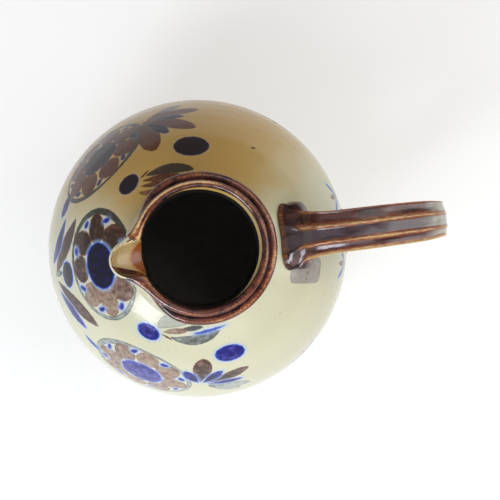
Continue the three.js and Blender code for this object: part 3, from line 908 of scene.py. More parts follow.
# The inside of the body gets the deep painted shade
body_materials = [painted_cream, painted_shade_glaze("painted_shade_glaze_deep", DEEP_PAINTED_SHADE), bare_buff_clay()]
print("finishes of the body", [material.name for material in body_materials])

# %% The body as a piece
body_numbers = {}
for paint in PAINTS:
    for kind, field, rest in (("edge", edge_field, FAR_AWAY), ("thin", thin_field, 0.5)):
        values = np.full(body_grid.shape[:2], rest)
        values[len(inside):len(inside) + len(outside)] = field[paint].reshape(len(outside), BODY_COLUMNS)
        body_numbers[f"{paint}_{kind}"] = values

body_slots = [1] * (len(inside) - 1) + [0] * (len(outside) + 1) + [2] * (len(foot) + len(underside) - 1)
body_ends = [(0.0, 0.0, FLOOR), (0.0, 0.0, 0.0)]
jug_body = make_piece("jug_body", body_grid, body_ends, body_numbers, body_materials, body_slots)

# %% [markdown]
# The neck is a thrown ring set on the body with slip. Its outside swells to a round bead, dips into
# a groove and rises to the lip, and the potter's finger pulled the spout out of it while it was
# wet. It is built as stations up the outside, over the lip and down the throat. Near the spout the
# ridges fade, so each station has a second shape there: a plain cone. Seen from above, the spout
# is a round tip with two sides that draw in towards it, and each station takes the larger of its
# own radius and the spout's.

# %% Stations of the neck
COLLAR_RADIUS, COLLAR_RISE = 37.4, 17.6
BEAD_RADIUS, BEAD_FROM, BEAD_TO = 2.2, -1.9, 2.4
GROOVE_RADIUS, GROOVE_RISE = 33.3, 18.6
LIP_RADIUS, LIP_HALF_THICKNESS, LIP_HEIGHT = 31.2, 1.9, 3.4
CREST_FLATNESS = 0.55
WAIST_RADIUS, WAIST_RISE = 33.0, 7.0
SKIRT_RADIUS, SKIRT_SUNK = 39.2, 0.12
THROAT_LAP = 3.0
lip_outer, lip_inner = LIP_RADIUS + LIP_HALF_THICKNESS, LIP_RADIUS - LIP_HALF_THICKNESS
lip_foot = RIM_RISE - LIP_HEIGHT


def shoulder_rise(radius):
    """Height of the body's shoulder above the seam at a radius."""
    return EQUATOR_HEIGHT + UPPER_ARC * math.sqrt(1 - (radius / BODY_RADIUS) ** 2) - SEAM_HEIGHT


print(f"the neck's skirt ends {-shoulder_rise(SKIRT_RADIUS):.1f} mm below the seam")

# %% Up the outside
def outside_stations():
    """Radius and rise, the same where the ridges fade, and the angle round the bead."""
    skirt_start = (SKIRT_RADIUS, shoulder_rise(SKIRT_RADIUS) - SKIRT_SUNK)
    slope = SKIRT_RADIUS / math.sqrt(BODY_RADIUS ** 2 - SKIRT_RADIUS ** 2)
    skirt_bend = (WAIST_RADIUS + 0.4, skirt_start[1] + slope * (SKIRT_RADIUS - WAIST_RADIUS - 0.4))
    waist, lip_start = (WAIST_RADIUS, WAIST_RISE), (lip_outer, lip_foot)
    bead_middle = COLLAR_RADIUS - BEAD_RADIUS
    bead_angles = np.linspace(BEAD_FROM, BEAD_TO, 26)
    bead = [
        (bead_middle + BEAD_RADIUS * math.cos(angle), COLLAR_RISE + BEAD_RADIUS * math.sin(angle))
        for angle in bead_angles
    ]
    skirt = bent_line(skirt_start, skirt_bend, waist, 12)[:-1]
    flank = bent_line(waist, (WAIST_RADIUS + 0.1, bead[0][1] - 0.4), bead[0], 10)[:-1]
    groove = bent_line(bead[-1], (GROOVE_RADIUS - 0.6, GROOVE_RISE - 0.5), lip_start, 7)[1:-1]
    stations = [(radius, rise, radius, rise, math.nan) for radius, rise in skirt]
    ridged = flank + bead + groove
    for index, (radius, rise) in enumerate(ridged):
        cone = [mix(low, high, index / len(ridged)) for low, high in zip(waist, lip_start)]
        bead_index = index - len(flank)
        angle = bead_angles[bead_index] if 0 <= bead_index < len(bead) else math.nan
        stations.append((radius, rise, *cone, angle))
    return np.array(stations), len(skirt) + len(flank) + len(bead)


outer_stations, groove_from = outside_stations()
print("stations up the outside", len(outer_stations))

# %% Lip and throat
CHANNEL_LOW = 8.0
CHANNEL_HIGH = 18.5


def inside_stations():
    """Radius and rise over the lip and down the throat, and the angle over the lip."""
    stations = []
    for angle in np.linspace(0, math.pi, 24):
        rise = RIM_RISE - LIP_HEIGHT * (1 - math.sin(angle) ** CREST_FLATNESS)
        stations.append((LIP_RADIUS + LIP_HALF_THICKNESS * math.cos(angle), rise, angle))
    throat_bend, throat_top = (THROAT_RADIUS, lip_foot - 1.0), (THROAT_RADIUS, CHANNEL_HIGH)
    below_lip = bent_line((lip_inner, lip_foot), throat_bend, throat_top, 4)[1:-1]
    stations += [(radius, rise, math.nan) for radius, rise in below_lip]
    stations += [(THROAT_RADIUS, rise, math.nan) for rise in np.linspace(CHANNEL_HIGH, CHANNEL_LOW, 26)]
    for rise in np.linspace(CHANNEL_LOW, -THROAT_LAP, 7)[1:]:
        stations.append((THROAT_RADIUS - 0.2 * float(smooth_step(-rise, 0, 1)), rise, math.nan))
    return np.array(stations)


inner_stations = inside_stations()

# Hidden rows that close the neck underneath, just below the top of the body
UNDER_SKIRT = 36.5
closing = np.array([
    (THROAT_RADIUS + 1.2, -SKIRT_SUNK),
    (SEAM_RADIUS, -SKIRT_SUNK),
    (UNDER_SKIRT, shoulder_rise(UNDER_SKIRT) - SKIRT_SUNK),
])
print("stations over the lip and down the throat", len(inner_stations))

# %% [markdown]
# Now the stations are swept round. The columns crowd towards the spout, whose edge bends most.
# Two smooth steps do the pulling: one says how far the spout has grown at a station's height, and
# one says where round the neck the ridges fade. The larger of two radii is taken with its corner
# rounded, which gives the spout its soft shoulders.

# %% Directions round the neck
RIDGES_FADE = (0.38, 1.2)
NECK_CROWDING = 0.56
NECK_COLUMNS = 400

neck_turns = np.arange(NECK_COLUMNS) / NECK_COLUMNS * 2 * math.pi
neck_angles = neck_turns - NECK_CROWDING * np.sin(neck_turns)
from_spout = np.minimum(neck_angles, 2 * math.pi - neck_angles)
ridged_share = smooth_step(from_spout, *RIDGES_FADE)
print("columns with full ridges", int((ridged_share == 1).sum()), "of", NECK_COLUMNS)

# %% The spout's edge
SPOUT_REACH = 43.6
SPOUT_TIP_RADIUS = 8.2
CHANNEL_TAPER, OUTER_TAPER = 0.16, 0.42


def spout_edge(reach, tip_radius, taper):
    """Distance from the axis to the edge of the spout in every column's direction: the arc of its
    tip and, beside it, a straight side that draws in by the taper."""
    tip_middle = reach - tip_radius
    side_starts = math.atan2(tip_radius * math.cos(taper), tip_middle + tip_radius * math.sin(taper))
    across = tip_middle * np.sin(from_spout)
    arc = tip_middle * np.cos(from_spout) + np.sqrt(np.maximum(tip_radius ** 2 - across ** 2, 0))
    side = (tip_radius + tip_middle * math.sin(taper)) / np.sin(from_spout + taper)
    edge = np.where(from_spout > side_starts, side, arc)
    return np.where(from_spout > math.pi / 2, 0.0, edge)


longest = spout_edge(SPOUT_REACH, SPOUT_TIP_RADIUS, OUTER_TAPER).max()
print(f"the spout reaches {longest:.1f} mm from the axis")

# %% Sweep the neck
SPOUT_TURN = 0.04
SPOUT_LIP_SHARE = 0.52
CHANNEL_BLEND, OUTER_BLEND = 3.0, 8.0
SPOUT_UNDERSIDE = 3.0
SPOUT_SHOULDER = 17.5


def neck_row(radius, rise, faded_radius, faded_rise, growth):
    """One ring of points at a station. Growth is how far the spout has grown there, from 0 to 1."""
    across_lip = (faded_radius - LIP_RADIUS) * SPOUT_LIP_SHARE
    reach = mix(faded_radius, SPOUT_REACH + across_lip, growth)
    outwards = float(smooth_step(faded_radius, lip_inner, lip_outer))
    taper = mix(CHANNEL_TAPER, OUTER_TAPER, outwards)
    round_radius = mix(faded_radius, radius, ridged_share)
    edge = spout_edge(reach, SPOUT_TIP_RADIUS + across_lip, taper) if growth > 0 else 0 * neck_angles
    blending = max(mix(CHANNEL_BLEND, OUTER_BLEND, outwards) * growth, 1e-6)
    overlap = np.maximum(blending - np.abs(round_radius - edge), 0)
    out = np.maximum(round_radius, edge) + overlap ** 2 / (4 * blending)
    height = SEAM_HEIGHT + mix(faded_rise, rise, ridged_share)
    directions = neck_angles + SPOUT_TURN
    return np.stack([-out * np.cos(directions), -out * np.sin(directions), height], axis=-1)


neck_rows = []
for radius, rise, faded_radius, faded_rise, _ in outer_stations:
    growth = float(smooth_step(faded_rise, SPOUT_UNDERSIDE, SPOUT_SHOULDER))
    neck_rows.append(neck_row(radius, rise, faded_radius, faded_rise, growth))
for radius, rise, _ in inner_stations:
    growth = float(smooth_step(rise, CHANNEL_LOW, CHANNEL_HIGH))
    neck_rows.append(neck_row(radius, rise, radius, rise, growth))
for radius, rise in closing:
    neck_rows.append(neck_row(radius, rise, radius, rise, 0.0))
neck_grid = np.array(neck_rows)
print("neck grid", neck_grid.shape, "tip at", neck_grid[..., 0].min().round(2), "mm")

# %% [markdown]
# The rim was dipped in an iron glaze. Such a glaze is nearly black-brown where it is thick, turns
# grey-violet where it pools, and breaks to rust and gold where it runs thin over an edge. Numbers
# are stored for it on every point: how much it breaks, how much it pools, how much of the point was
# never dipped and shows cream, how much painted shade and how much rust that cream takes, and
# where the painted shade of the throat begins.
# The rim is not the same all round, so some numbers are weighed by a side of the jug. A side is
# named by its bearing: 0 points to the handle and 180 to the spout.

# %% Sides of the neck
def bump_at(value, middle, width):
    """1 at the middle, falling to 0 on both sides, and 0 where a row has no such angle."""
    return np.nan_to_num(np.exp(-((value - middle) / width) ** 2))


def beyond(value, low, high):
    """A smooth step, and 0 where a row has no such angle."""
    return np.nan_to_num(smooth_step(value, low, high))


def on_side(bearing, full, none):
    """1 within so many degrees of a bearing, falling to 0 at so many."""
    away = np.abs((np.degrees(neck_angles + SPOUT_TURN) + 180 - bearing + 180) % 360 - 180)
    return 1 - smooth_step(away, full, none)


outer_count, inner_count = len(outer_stations), len(inner_stations)
lip_rows = slice(outer_count, outer_count + inner_count)

# Angles over the bead and the lip in radians: 0 faces outwards and a quarter turn is the top
bead_angle = outer_stations[:, 4][:, None]
lip_angle = inner_stations[:, 2][:, None]
on_wall = np.isnan(lip_angle)

# Degrees from the spout, less than 0 on one side of it
turned_from_spout = (np.degrees(neck_angles) + 180) % 360 - 180
print("rows outside", outer_count, "rows inside", inner_count)

# %% Where the iron glaze breaks and pools
DIP_RISE, DIP_SOFTNESS, SPOUT_DIPPED_LOWER = 12.4, 0.5, 5.0

breaks, pools, shows_cream, warm, painted_shade_share, rusty = (np.zeros(neck_grid.shape[:2]) for _ in range(6))
spout_half = on_side(183, 35, 70)

# On the side at bearing 112 the lip is painted more gold: partly the glaze breaking, partly a painted
# highlight of the lamps
gold_side = on_side(112, 30, 55)
breaks[:outer_count] = bump_at(bead_angle, 1.25, 0.7) * mix(0.42, 0.66, on_side(335, 40, 75)) * ridged_share
breaks[lip_rows] = mix(0.5, 1.2, gold_side) * bump_at(lip_angle, 1.15, mix(0.65, 0.4, gold_side))
breaks[lip_rows] += 0.8 * bump_at(lip_angle, 2.45, 0.45) * spout_half
flank = 1 - smooth_step(np.nan_to_num(bead_angle, nan=9), 0.1, 0.7)
pools[:outer_count] = flank * ridged_share * mix(0.8, 0.2, on_side(105, 40, 90))
pools[groove_from:outer_count - 2] = smooth_step(from_spout, 0.25, 0.7) * mix(0.75, 0.3, on_side(35, 30, 60))
dark_outside = smooth_step(-turned_from_spout, 13, 20) * (1 - smooth_step(-turned_from_spout, 60, 80))
pools[lip_rows] = np.maximum(pools[lip_rows], (lip_angle < 0.8) * dark_outside)

# The waist below the bead was never dipped
dip_line = DIP_RISE + 0.7 * np.sin(2 * neck_angles + 1) + 0.4 * np.sin(5 * neck_angles)
dip_line -= SPOUT_DIPPED_LOWER * (1 - ridged_share)
outer_rise = neck_grid[:outer_count, :, 2] - SEAM_HEIGHT
shows_cream[:outer_count] = 1 - smooth_step(outer_rise - dip_line, -DIP_SOFTNESS, DIP_SOFTNESS)
print("iron glaze starts", dip_line.min().round(1), "to", dip_line.max().round(1), "mm above the seam")

# %% [markdown]
# Inside, a cream band shows below the lip towards the handle, and elsewhere the throat's painted
# shade starts at once below the lip. The spout's channel is cream too: its lower end turns rusty
# where it meets the throat, and on one side its wall is brown beyond a slanting line. Its very edge
# is painted pale cream, which stands partly for a painted highlight along the tip.

# %% The inner wall
BAND_FOOT = 17.6
# The brown part of the channel's wall: a place on its edge (along and off the spout), and its slope
BROWN_WALL_ALONG, BROWN_WALL_OFF, BROWN_WALL_SLOPE = 43.0, 1.8, 0.39
RUST_FROM, RUST_TO, RUST_BOW = 32.6, 37.4, 0.085

inner_grid = neck_grid[lip_rows]
inner_rise = inner_grid[..., 2] - SEAM_HEIGHT
inner_radius = np.hypot(inner_grid[..., 0], inner_grid[..., 1])
along_spout, off_spout = inner_radius * np.cos(neck_angles), inner_radius * np.sin(neck_angles)
channel = smooth_step(inner_radius - THROAT_RADIUS, 0.3, 1.4) * (np.cos(neck_angles) > 0.3) * on_wall
near_tip = smooth_step(turned_from_spout, -23, -13) * (1 - smooth_step(turned_from_spout, 8, 19))
# On one side the channel's wall is brown beyond a slanting line
brown_wall_edge = BROWN_WALL_OFF + BROWN_WALL_SLOPE * (BROWN_WALL_ALONG - along_spout)
brown_wall = smooth_step(off_spout - brown_wall_edge, -0.5, 0.5) * (np.cos(neck_angles) > 0)
brown_line = bump_at(lip_angle, 2.05, 0.32) * mix(0.55, 1.0, smooth_step(turned_from_spout, -12, 2))
print("places in the spout's channel", int((channel > 0).sum()))

# %% Cream, rust and liner
band = on_side(22, 20, 95)
cream_band = (band > 0) * (on_wall + beyond(lip_angle - mix(3.1, 2.65, band), -0.1, 0.1))
# Pale cream along the spout's tip, which stands partly for a painted highlight there
pale_edge = bump_at(lip_angle, 1.0, 0.8) * near_tip
in_spout = np.maximum(channel, beyond(lip_angle, 1.7, 2.0) * near_tip) * (1 - brown_line) * (1 - brown_wall)
shows_cream[lip_rows] = np.clip(cream_band + pale_edge + in_spout, 0, 1)
breaks[lip_rows] *= 1 - 0.8 * near_tip
breaks[lip_rows] += bump_at(turned_from_spout, -20, 3.5) * bump_at(lip_angle, 2.5, 0.7)

# Below this height the throat gets its painted shade
painted_shade_top = mix(lip_foot, BAND_FOOT, band)
# Painted shade: the cream inside the lip takes most of the body's darker golden tone, but not the spout's
# pale edge
warm[lip_rows] = 0.75 * (1 - pale_edge)
painted_shade_share[lip_rows] = (1 - smooth_step(inner_rise, painted_shade_top - 0.6, painted_shade_top + 0.6)) * (1 - channel)
painted_shade_share[outer_count + inner_count:] = 1.0
rust_reach = inner_radius + RUST_BOW * off_spout ** 2
rusty[lip_rows] = channel * (1 - smooth_step(rust_reach, RUST_FROM, RUST_TO))
print("cream share of the neck", round(float(shows_cream.mean()), 2))

# %% [markdown]
# The iron glaze is the material of the rim and of the handle. On the rim it is glossier than the
# cream, and on the handle, which hands have worn, it is a little duller. Its tones come from the
# stored numbers, each roughened by noise, because a glaze breaks in specks and streaks rather than
# along a clean line. The same material shows the cream, the rust of the spout and the painted shade
# of the throat where the numbers say so.

# %% Iron glaze
IRON_DARK = linear("#2e1a1b")
IRON_BROWN = linear("#60352b")
IRON_RUST = linear("#884a2b")
IRON_GOLD = linear("#d9b47e")
IRON_POOL = linear("#4b444a")
# Painted reflection: the pale grey painted on the strap's far bend
PAINTED_SHEEN_GREY = linear("#b4b3a8")
IRON_IOR = 1.55


def iron_colour(tree, place, painted_sheen, speckled):
    """Painted sheen is the share painted pale grey as a painted reflection, and speckled is how far its
    breaks scatter in specks.
    """
    mottle = add_node(tree, "MapRange", (grain(tree, 5.0, 5.0, place), 0.36, 0.64), **SMOOTH)
    breaking = add_node(tree, "Attribute", output="Fac", attribute_name="breaks")
    breaking = uneven(tree, breaking, grain(tree, 0.8, 4.0, place, 0.2), speckled)
    breaking = uneven(tree, breaking, grain(tree, 9.0, 1.0, place, 0.9), 0.6)
    pooling = add_node(tree, "Attribute", output="Fac", attribute_name="pools")
    pooling = uneven(tree, pooling, mottle, 0.5)
    pooled = add_node(tree, "MapRange", (pooling, 0.25, 0.9, 0.0, 0.88), **SMOOTH)
    rusty = add_node(tree, "MapRange", (breaking, 0.25, 0.6, 0.0, 0.9), **SMOOTH)
    golden = add_node(tree, "MapRange", (breaking, 0.55, 1.05, 0.0, 0.92), **SMOOTH)
    tones = [(mottle, IRON_BROWN), (pooled, IRON_POOL), (painted_sheen, PAINTED_SHEEN_GREY), (rusty, IRON_RUST)]
    return layered(tree, IRON_DARK, tones + [(golden, IRON_GOLD)])


print("thick iron glaze in linear light", [round(c, 3) for c in IRON_DARK])

# %% Iron glaze over cream
RUN_LENGTH = 1.5
SPOUT_ORANGE, SPOUT_RUST = linear("#b98c4c"), linear("#8f4b20")
DULLER_CREAM = 0.16


def place_across_the_rim(tree):
    """Places pulled together across the rim, so that a noise read there runs over the rim like the
    melting glaze did."""
    across = add_node(tree, "Attribute", output="Fac", attribute_name="across")
    climb = add_node(tree, "Math", (across, MM / RUN_LENGTH), operation="MULTIPLY")
    lifted = add_node(tree, "CombineXYZ", {"Z": climb})
    radius = LIP_RADIUS * MM
    sockets = (out_from_the_axis(tree), (radius, radius, 0.0), lifted)
    return add_node(tree, "VectorMath", sockets, operation="MULTIPLY_ADD")


def iron_over_cream_glaze():
    """The rim's material: iron glaze, cream, the spout's rust and the throat's painted shade in turn."""
    material = new_material("iron_rim_glaze_over_cream")
    tree = material.node_tree
    shows_cream, warm, rusty, painted_shade_share = (
        add_node(tree, "Attribute", output="Fac", attribute_name=name)
        for name in ("shows_cream", "warm", "rusty", "painted_shade_share")
    )
    ragged = grain(tree, 1.6, 3.0)
    rust = uneven(tree, rusty, ragged, 0.28)
    cream = add_node(tree, "MapRange", (uneven(tree, shows_cream, ragged, 0.7), 0.4, 0.6), **SMOOTH)
    orange = add_node(tree, "MapRange", (rust, 0.05, 0.45), **SMOOTH)
    burnt = add_node(tree, "MapRange", (rust, 0.4, 0.8), **SMOOTH)
    # Painted shade: the throat below the lip is painted almost black
    dark = add_node(tree, "MapRange", (uneven(tree, painted_shade_share, ragged, 0.14), 0.3, 0.7), **SMOOTH)
    # Painted shade on the cream: on the side away from the lamps, and inside the lip
    in_shade = add_node(tree, "Math", (side_shade_share(tree), warm), operation="MAXIMUM")
    iron = iron_colour(tree, place_across_the_rim(tree), 0.0, 1.2)
    tones = [(cream, cream_colour(tree, in_shade)), (orange, SPOUT_ORANGE), (burnt, SPOUT_RUST)]
    colour = layered(tree, iron, tones + [(dark, THROAT_PAINTED_SHADE)])
    sockets = (cream, DULLER_CREAM, patchy(tree, *RIM_GLOSS))
    roughness = add_node(tree, "Math", sockets, operation="MULTIPLY_ADD")
    fired_surface(tree, colour, roughness, orange_peel(tree, IRON_RIPPLE), IRON_IOR)
    return material


neck_materials = [iron_over_cream_glaze(), painted_shade_glaze("painted_shade_glaze_throat", THROAT_PAINTED_SHADE)]
print("finishes of the neck", [material.name for material in neck_materials])

# %% The neck as a piece
# The deep rows of the throat get the throat's painted shade as their material
deep = neck_grid[..., 2].max(axis=1) - SEAM_HEIGHT < CHANNEL_LOW
neck_slots = (deep & (np.arange(len(neck_grid)) > outer_count)).astype(int)
steps_across = np.linalg.norm(np.diff(neck_grid[:, NECK_COLUMNS // 2], axis=0), axis=1)
across = np.append(0, np.cumsum(steps_across))
neck_numbers = {
    "breaks": breaks,
    "pools": pools,
    "shows_cream": shows_cream,
    "warm": warm,
    "painted_shade_share": painted_shade_share,
    "rusty": rusty,
    "across": np.repeat(across[:, None], NECK_COLUMNS, axis=1),
}
jug_neck = make_piece("jug_neck", neck_grid, None, neck_numbers, neck_materials, neck_slots)

# %% [markdown]
# The handle is a strap of clay that was pulled with wet fingers, which left four fine ridges with
# channels between them, and was pressed on to the body at both ends. It is a section swept along a
# bent line. The line is a Catmull-Rom curve through the same bends as the solid strap, and its
# steps are measured along the line, so that the section's rows lie evenly.

# %% The strap's middle line
STRAP_INSET = 14.0
STRAP_TAIL_SLOPE = 0.45
HANDLE_REACH = 126.6
HANDLE_CREST = 164.5
HANDLE_TAIL_HEIGHT = 60.0
RIM_TO_PAD = 2.2
UPPER_PAD = (9.8, 17.5)
LOWER_PAD = (17.0, 15.5)
UPPER_PAD_SHIFT = 0.5
STRAP_BENDS = [(0.16, 0.05), (0.42, 0.0), (0.7, 0.045), (0.95, 0.15), (1.0, 0.36), (0.9, 0.62), (0.7, 0.83)]

root_angle = math.acos((COLLAR_RADIUS + RIM_TO_PAD + UPPER_PAD[0]) / BODY_RADIUS)
tail_angle = math.asin((HANDLE_TAIL_HEIGHT - EQUATOR_HEIGHT) / LOWER_ARC)
root, tail = arc_point(root_angle, UPPER_ARC), arc_point(tail_angle, LOWER_ARC)
run, drop = HANDLE_REACH - root[0], HANDLE_CREST - tail[1]
bends = [(root[0], root[1] - STRAP_INSET), root]
bends += [(root[0] + out * run, HANDLE_CREST - down * drop) for out, down in STRAP_BENDS]
bends += [tail, (tail[0] - STRAP_INSET, tail[1] - STRAP_TAIL_SLOPE * STRAP_INSET)]


def smooth_line(knots, steps_between):
    """Centripetal Catmull-Rom curve through the knots."""
    knots = np.array(knots)
    padded = np.vstack([2 * knots[0] - knots[1], knots, 2 * knots[-1] - knots[-2]])
    spans = np.sqrt(np.linalg.norm(np.diff(padded, axis=0), axis=1))
    line = []
    for i in range(1, len(padded) - 2):
        before, here, after, later = padded[i - 1:i + 3]
        first, middle, last = spans[i - 1:i + 2]
        leave = (here - before) / first - (after - before) / (first + middle) + (after - here) / middle
        arrive = (after - here) / middle - (later - here) / (middle + last) + (later - after) / last
        t = (np.arange(steps_between) / steps_between)[:, None]
        line.append(
            (2 * t ** 3 - 3 * t ** 2 + 1) * here + (t ** 3 - 2 * t ** 2 + t) * middle * leave
            + (3 * t ** 2 - 2 * t ** 3) * after + (t ** 3 - t ** 2) * middle * arrive
        )
    return np.vstack(line + [knots[-1:]])


strap_line = smooth_line(bends, 80)
line_length = np.append(0, np.cumsum(np.linalg.norm(np.diff(strap_line, axis=0), axis=1)))
STRAP_LENGTH = float(line_length[-1])
print(f"middle line of the strap {STRAP_LENGTH:.0f} mm long")

# %% [markdown]
# The section has a crowned outer face with four ridges and a flattened round back. A ridge is a
# fine line: the channel beside it drops away within a millimetre and then runs almost flat. The
# strap is wider and thicker at its root, narrows towards its tail and flares where it was pressed.
# At the far bend a hand's grip has rounded its edges off a little.

# %% Places round the strap's section
RIDGES = (0.0, 0.35, 0.72, 1.0)
WIDTHS, THICKNESSES = (21.2, 18.6), (9.0, 7.2)
FLARES = (8.0, 4.0)
CHANNEL_DEPTH, CROWN = 1.3, 1.4
RIDGE_HALF_WIDTH = 0.65
BACK_SQUARENESS = 0.55
BEND_SHARE, BEND_SPAN = 0.47, 0.055
BEND_NARROWER = 2.4
STEPS_PER_CHANNEL, BACK_STEPS = 15, 26

places = np.concatenate([
    np.linspace(low, high, STEPS_PER_CHANNEL, endpoint=False) for low, high in zip(RIDGES, RIDGES[1:])
] + [[1.0]])
back_angles = np.linspace(0, math.pi, BACK_STEPS + 1)[1:-1]
nearest_ridge = np.min([np.abs(places - ridge) for ridge in RIDGES], axis=0)
SECTION_POINTS = len(places) + len(back_angles)
print("points round the section", SECTION_POINTS)

# %% The strap's section
def strap_section(share):
    """Points of (sideways, outwards) at a share of the strap's length, and how near a ridge each is."""
    taper = float(smooth_step(share, 0.15, 0.85))
    at_bend = float(bump_at(share, BEND_SHARE, BEND_SPAN))
    flare = FLARES[0] * (1 - smooth_step(share, 0, 0.2)) + FLARES[1] * smooth_step(share, 0.8, 1)
    width = mix(*WIDTHS, taper) + float(flare) - BEND_NARROWER * at_bend
    half_thick = mix(*THICKNESSES, taper) / 2
    ridge = bump_at(nearest_ridge * width, 0, RIDGE_HALF_WIDTH)
    scoop = CHANNEL_DEPTH * (1 - ridge) * (0.75 + 0.25 * bump_at(nearest_ridge, 0.17, 0.1))
    scoop *= 1 - 0.7 * at_bend
    face = np.stack([(0.5 - places) * width, half_thick - CROWN * (2 * places - 1) ** 2 - scoop], axis=1)
    cosine, sine = np.cos(back_angles), np.sin(back_angles)
    back = np.stack([
        -width / 2 * np.sign(cosine) * np.abs(cosine) ** BACK_SQUARENESS,
        -half_thick * sine ** BACK_SQUARENESS,
    ], axis=1)
    return np.vstack([face, back]), np.append(ridge, np.zeros(len(back)))


print("width and thickness half way along, in mm", np.ptp(strap_section(0.5)[0], axis=0).round(1))

# %% Rows of the strap
ROOT_ABOVE, TAIL_ABOVE = 11.0, 9.0
STRAP_ROWS = 190


def strap_row(length):
    """One row of the strap at a length along its middle line, in the plane of the handle."""
    x = np.interp(length, line_length, strap_line[:, 0])
    z = np.interp(length, line_length, strap_line[:, 1])
    ahead = [np.interp(length + 0.5, line_length, strap_line[:, i]) for i in (0, 1)]
    behind = [np.interp(length - 0.5, line_length, strap_line[:, i]) for i in (0, 1)]
    tangent = np.array([ahead[0] - behind[0], ahead[1] - behind[1]])
    tangent /= np.linalg.norm(tangent)
    outwards = np.array([-tangent[1], tangent[0]])
    section, ridge = strap_section(length / STRAP_LENGTH)
    sideways, out = section.T
    row = np.stack([x + outwards[0] * out, sideways, z + outwards[1] * out], axis=1)
    return row, ridge, np.array([tangent[0], 0.0, tangent[1]])


strap_from = STRAP_INSET + ROOT_ABOVE
strap_to = STRAP_LENGTH - math.hypot(STRAP_INSET, STRAP_TAIL_SLOPE * STRAP_INSET) - TAIL_ABOVE
strap_lengths = np.linspace(strap_from, strap_to, STRAP_ROWS)
strap = [strap_row(length) for length in strap_lengths]
print(f"strap between its wads {strap_to - strap_from:.0f} mm long")

# %% [markdown]
# At each end the strap spreads into a wad that lies on the body. The wad's edge is a slightly
# squared oval, drawn on the body's own surface. Between the strap's last row and that edge, every
# point follows a bent path: it leaves along the strap, turns outwards, and comes down on the edge
# from above, which gives the wad a full, rounded shoulder like pressed clay.

# %% Edges of the wads
UPPER_SQUARENESS, LOWER_SQUARENESS = 0.11, 0.06
WAD_SUNK = 0.35
body_middle = np.array([0.0, 0.0, EQUATOR_HEIGHT])


def wad_edge(section, seat_angle, arc, half_sizes, squareness, shift, out_sign):
    """The edge of a wad on the body, and the direction that stands off the body at each point."""
    seat = arc_point(seat_angle, arc)
    above = arc_point(seat_angle, arc, 1.0)
    normal = np.array([above[0] - seat[0], 0.0, above[1] - seat[1]])
    up_the_body = np.array([-normal[2], 0.0, normal[0]])
    half_width = section[:, 0].max()
    around = np.arctan2(section[:, 1] / section[:, 1].max(), section[:, 0] / half_width)
    squarer = 1 + squareness * (1 - np.cos(4 * around))
    lengthwise = half_sizes[0] * np.sin(around) * squarer * out_sign
    sideways = half_sizes[1] * np.cos(around) * squarer
    flat = np.array([seat[0], 0.0, seat[1]]) + lengthwise[:, None] * up_the_body
    flat[:, 1] += sideways + shift
    off = flat - body_middle
    off /= np.linalg.norm(off, axis=1, keepdims=True)
    return body_middle + off * (BODY_RADIUS - WAD_SUNK), off


root_section = strap_section(strap_from / STRAP_LENGTH)[0]
tail_section = strap_section(strap_to / STRAP_LENGTH)[0]
root_edge = wad_edge(root_section, root_angle, UPPER_ARC, UPPER_PAD, UPPER_SQUARENESS, UPPER_PAD_SHIFT, 1)
tail_edge = wad_edge(tail_section, tail_angle, LOWER_ARC, LOWER_PAD, LOWER_SQUARENESS, 0.0, -1)
print("width of the wads in mm", [float(np.ptp(edge[0][:, 1]).round(1)) for edge in (root_edge, tail_edge)])

# %% Wads of clay at both ends
WAD_ROWS = 18
# How far the bent paths stand off the body at the edge, and how far they follow the strap
ROOT_SHOULDER, TAIL_SHOULDER = (6.5, 5.0), (5.5, 4.0)


def wad_rows(row, away, edge, off, height, reach):
    """Rows from the strap's last row down to the wad's edge."""
    beside_row, above_edge = row + away * reach, edge + off * height
    rows = []
    for s in np.linspace(0, 1, WAD_ROWS + 1)[1:]:
        strap_part = (1 - s) ** 3 * row + 3 * s * (1 - s) ** 2 * beside_row
        rows.append(strap_part + 3 * s * s * (1 - s) * above_edge + s ** 3 * edge)
    return rows


root_wad = wad_rows(strap[0][0], -strap[0][2], *root_edge, *ROOT_SHOULDER)
tail_wad = wad_rows(strap[-1][0], strap[-1][2], *tail_edge, *TAIL_SHOULDER)
handle_grid = np.array(root_wad[::-1] + [row for row, _, _ in strap] + tail_wad)
print("handle grid", handle_grid.shape, "reach", handle_grid[..., 0].max().round(1), "mm")

# %% Where the handle's glaze breaks
CHANNEL_POOLS = (0.3, 0.75, 0.4)
# Place across the strap, half width in millimetres, and how thin the glaze is there
THIN_LINES = list(zip(RIDGES, (1.0, 1.5, 1.5, 1.9), (0.65, 0.75, 0.75, 1.1))) + [(0.26, 2.2, 0.3)]
WAD_ROW_SPACING = 0.9

strap_rows = slice(WAD_ROWS, WAD_ROWS + len(strap))
ridges = np.zeros(handle_grid.shape[:2])
ridges[strap_rows] = [ridge for _, ridge, _ in strap]
for step in range(WAD_ROWS):
    fade = 1 - float(smooth_step((WAD_ROWS - step) / WAD_ROWS, 0.05, 0.5))
    ridges[step] = strap[0][1] * fade
    ridges[-1 - step] = strap[-1][1] * fade
pool_of_place = np.select([places < RIDGES[1], places < RIDGES[2]], CHANNEL_POOLS[:2], CHANNEL_POOLS[2])
pooled = np.append(pool_of_place, np.zeros(len(back_angles))) * (1 - ridges)
thin_lines = sum(level * bump_at((places - place) * WIDTHS[0], 0, half) for place, half, level in THIN_LINES)
ridge_fade = ridges.max(axis=1)[:, None]
thinned = ridge_fade * np.append(thin_lines, np.zeros(len(back_angles)))

# The glaze is thin along the edge of the upper wad too
thinned[1:5] += 0.4

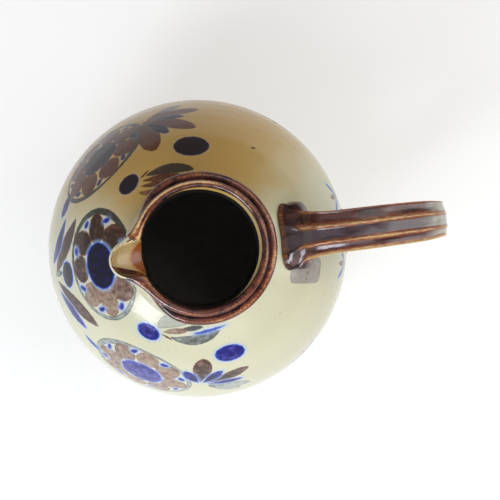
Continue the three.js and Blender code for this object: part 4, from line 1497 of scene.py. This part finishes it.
# Painted reflection: where the strap curves down at its far bend, it is painted pale grey
painted_sheen = smooth_step(handle_grid[..., 0], 108, 127) * smooth_step(handle_grid[..., 2], 105, 135)
wad_lengths = WAD_ROW_SPACING * np.arange(1, WAD_ROWS + 1)
row_lengths = np.concatenate([strap_from - wad_lengths[::-1], strap_lengths, strap_to + wad_lengths])
handle_numbers = {
    "breaks": thinned,
    "pools": pooled,
    "painted_sheen": painted_sheen,
    "along": np.repeat(row_lengths[:, None], SECTION_POINTS, axis=1),
}
print("rows of the handle", len(handle_grid))

# %% [markdown]
# On the handle the glaze ran along the strap, so its mottle is drawn out lengthwise. The noise is
# read at the place along and across the strap instead of in space, with the length shortened. At
# the far bend the glaze is painted pale grey, a painted reflection of the bright room where the
# strap curves down.

# %% Iron glaze on the strap
STRAP_RUN = 4.0
WAD_HOLLOW = 0.03


def iron_strap_glaze():
    material = new_material("iron_strap_glaze")
    tree = material.node_tree
    in_space = add_node(tree, "TexCoord", output="Object")
    sideways = add_node(tree, "SeparateXYZ", (in_space,), "Y")
    along = add_node(tree, "Attribute", output="Fac", attribute_name="along")
    shortened = add_node(tree, "Math", (along, MM / STRAP_RUN), operation="MULTIPLY")
    place = add_node(tree, "CombineXYZ", (shortened, sideways))
    # Painted reflection: the far bend is painted pale grey
    painted_sheen = add_node(tree, "Attribute", output="Fac", attribute_name="painted_sheen")
    painted_sheen = uneven(tree, painted_sheen, grain(tree, 2.0, 4.0, place, 0.6), 0.7)
    painted_sheen = add_node(tree, "MapRange", (painted_sheen, 0.05, 1.1, 0.0, 0.95), **SMOOTH)
    colour = iron_colour(tree, place, painted_sheen, 0.8)
    fired_surface(tree, colour, patchy(tree, *STRAP_GLOSS), orange_peel(tree, IRON_RIPPLE), IRON_IOR)
    return material


handle_ends = [mix(handle_grid[i].mean(axis=0), body_middle, WAD_HOLLOW) for i in (0, -1)]
jug_handle = make_piece("jug_handle", handle_grid, handle_ends, handle_numbers, [iron_strap_glaze()])

# %% [markdown]
# The three pieces stand for the frame's solids. Each rides on the frame's one body, and the solids
# that it replaces, listed beside it, are hidden.

# %% Dress the frame
DRESSED = [
    (jug_body, "cream_glaze", ["thrown_body"]),
    (jug_neck, "iron_glaze", ["neck_and_spout"]),
    (jug_handle, "iron_glaze", ["strap_handle", "upper_handle_pad", "lower_handle_pad"]),
]
for piece, slot, nodes in DRESSED:
    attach(piece, "root")
    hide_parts(*nodes)
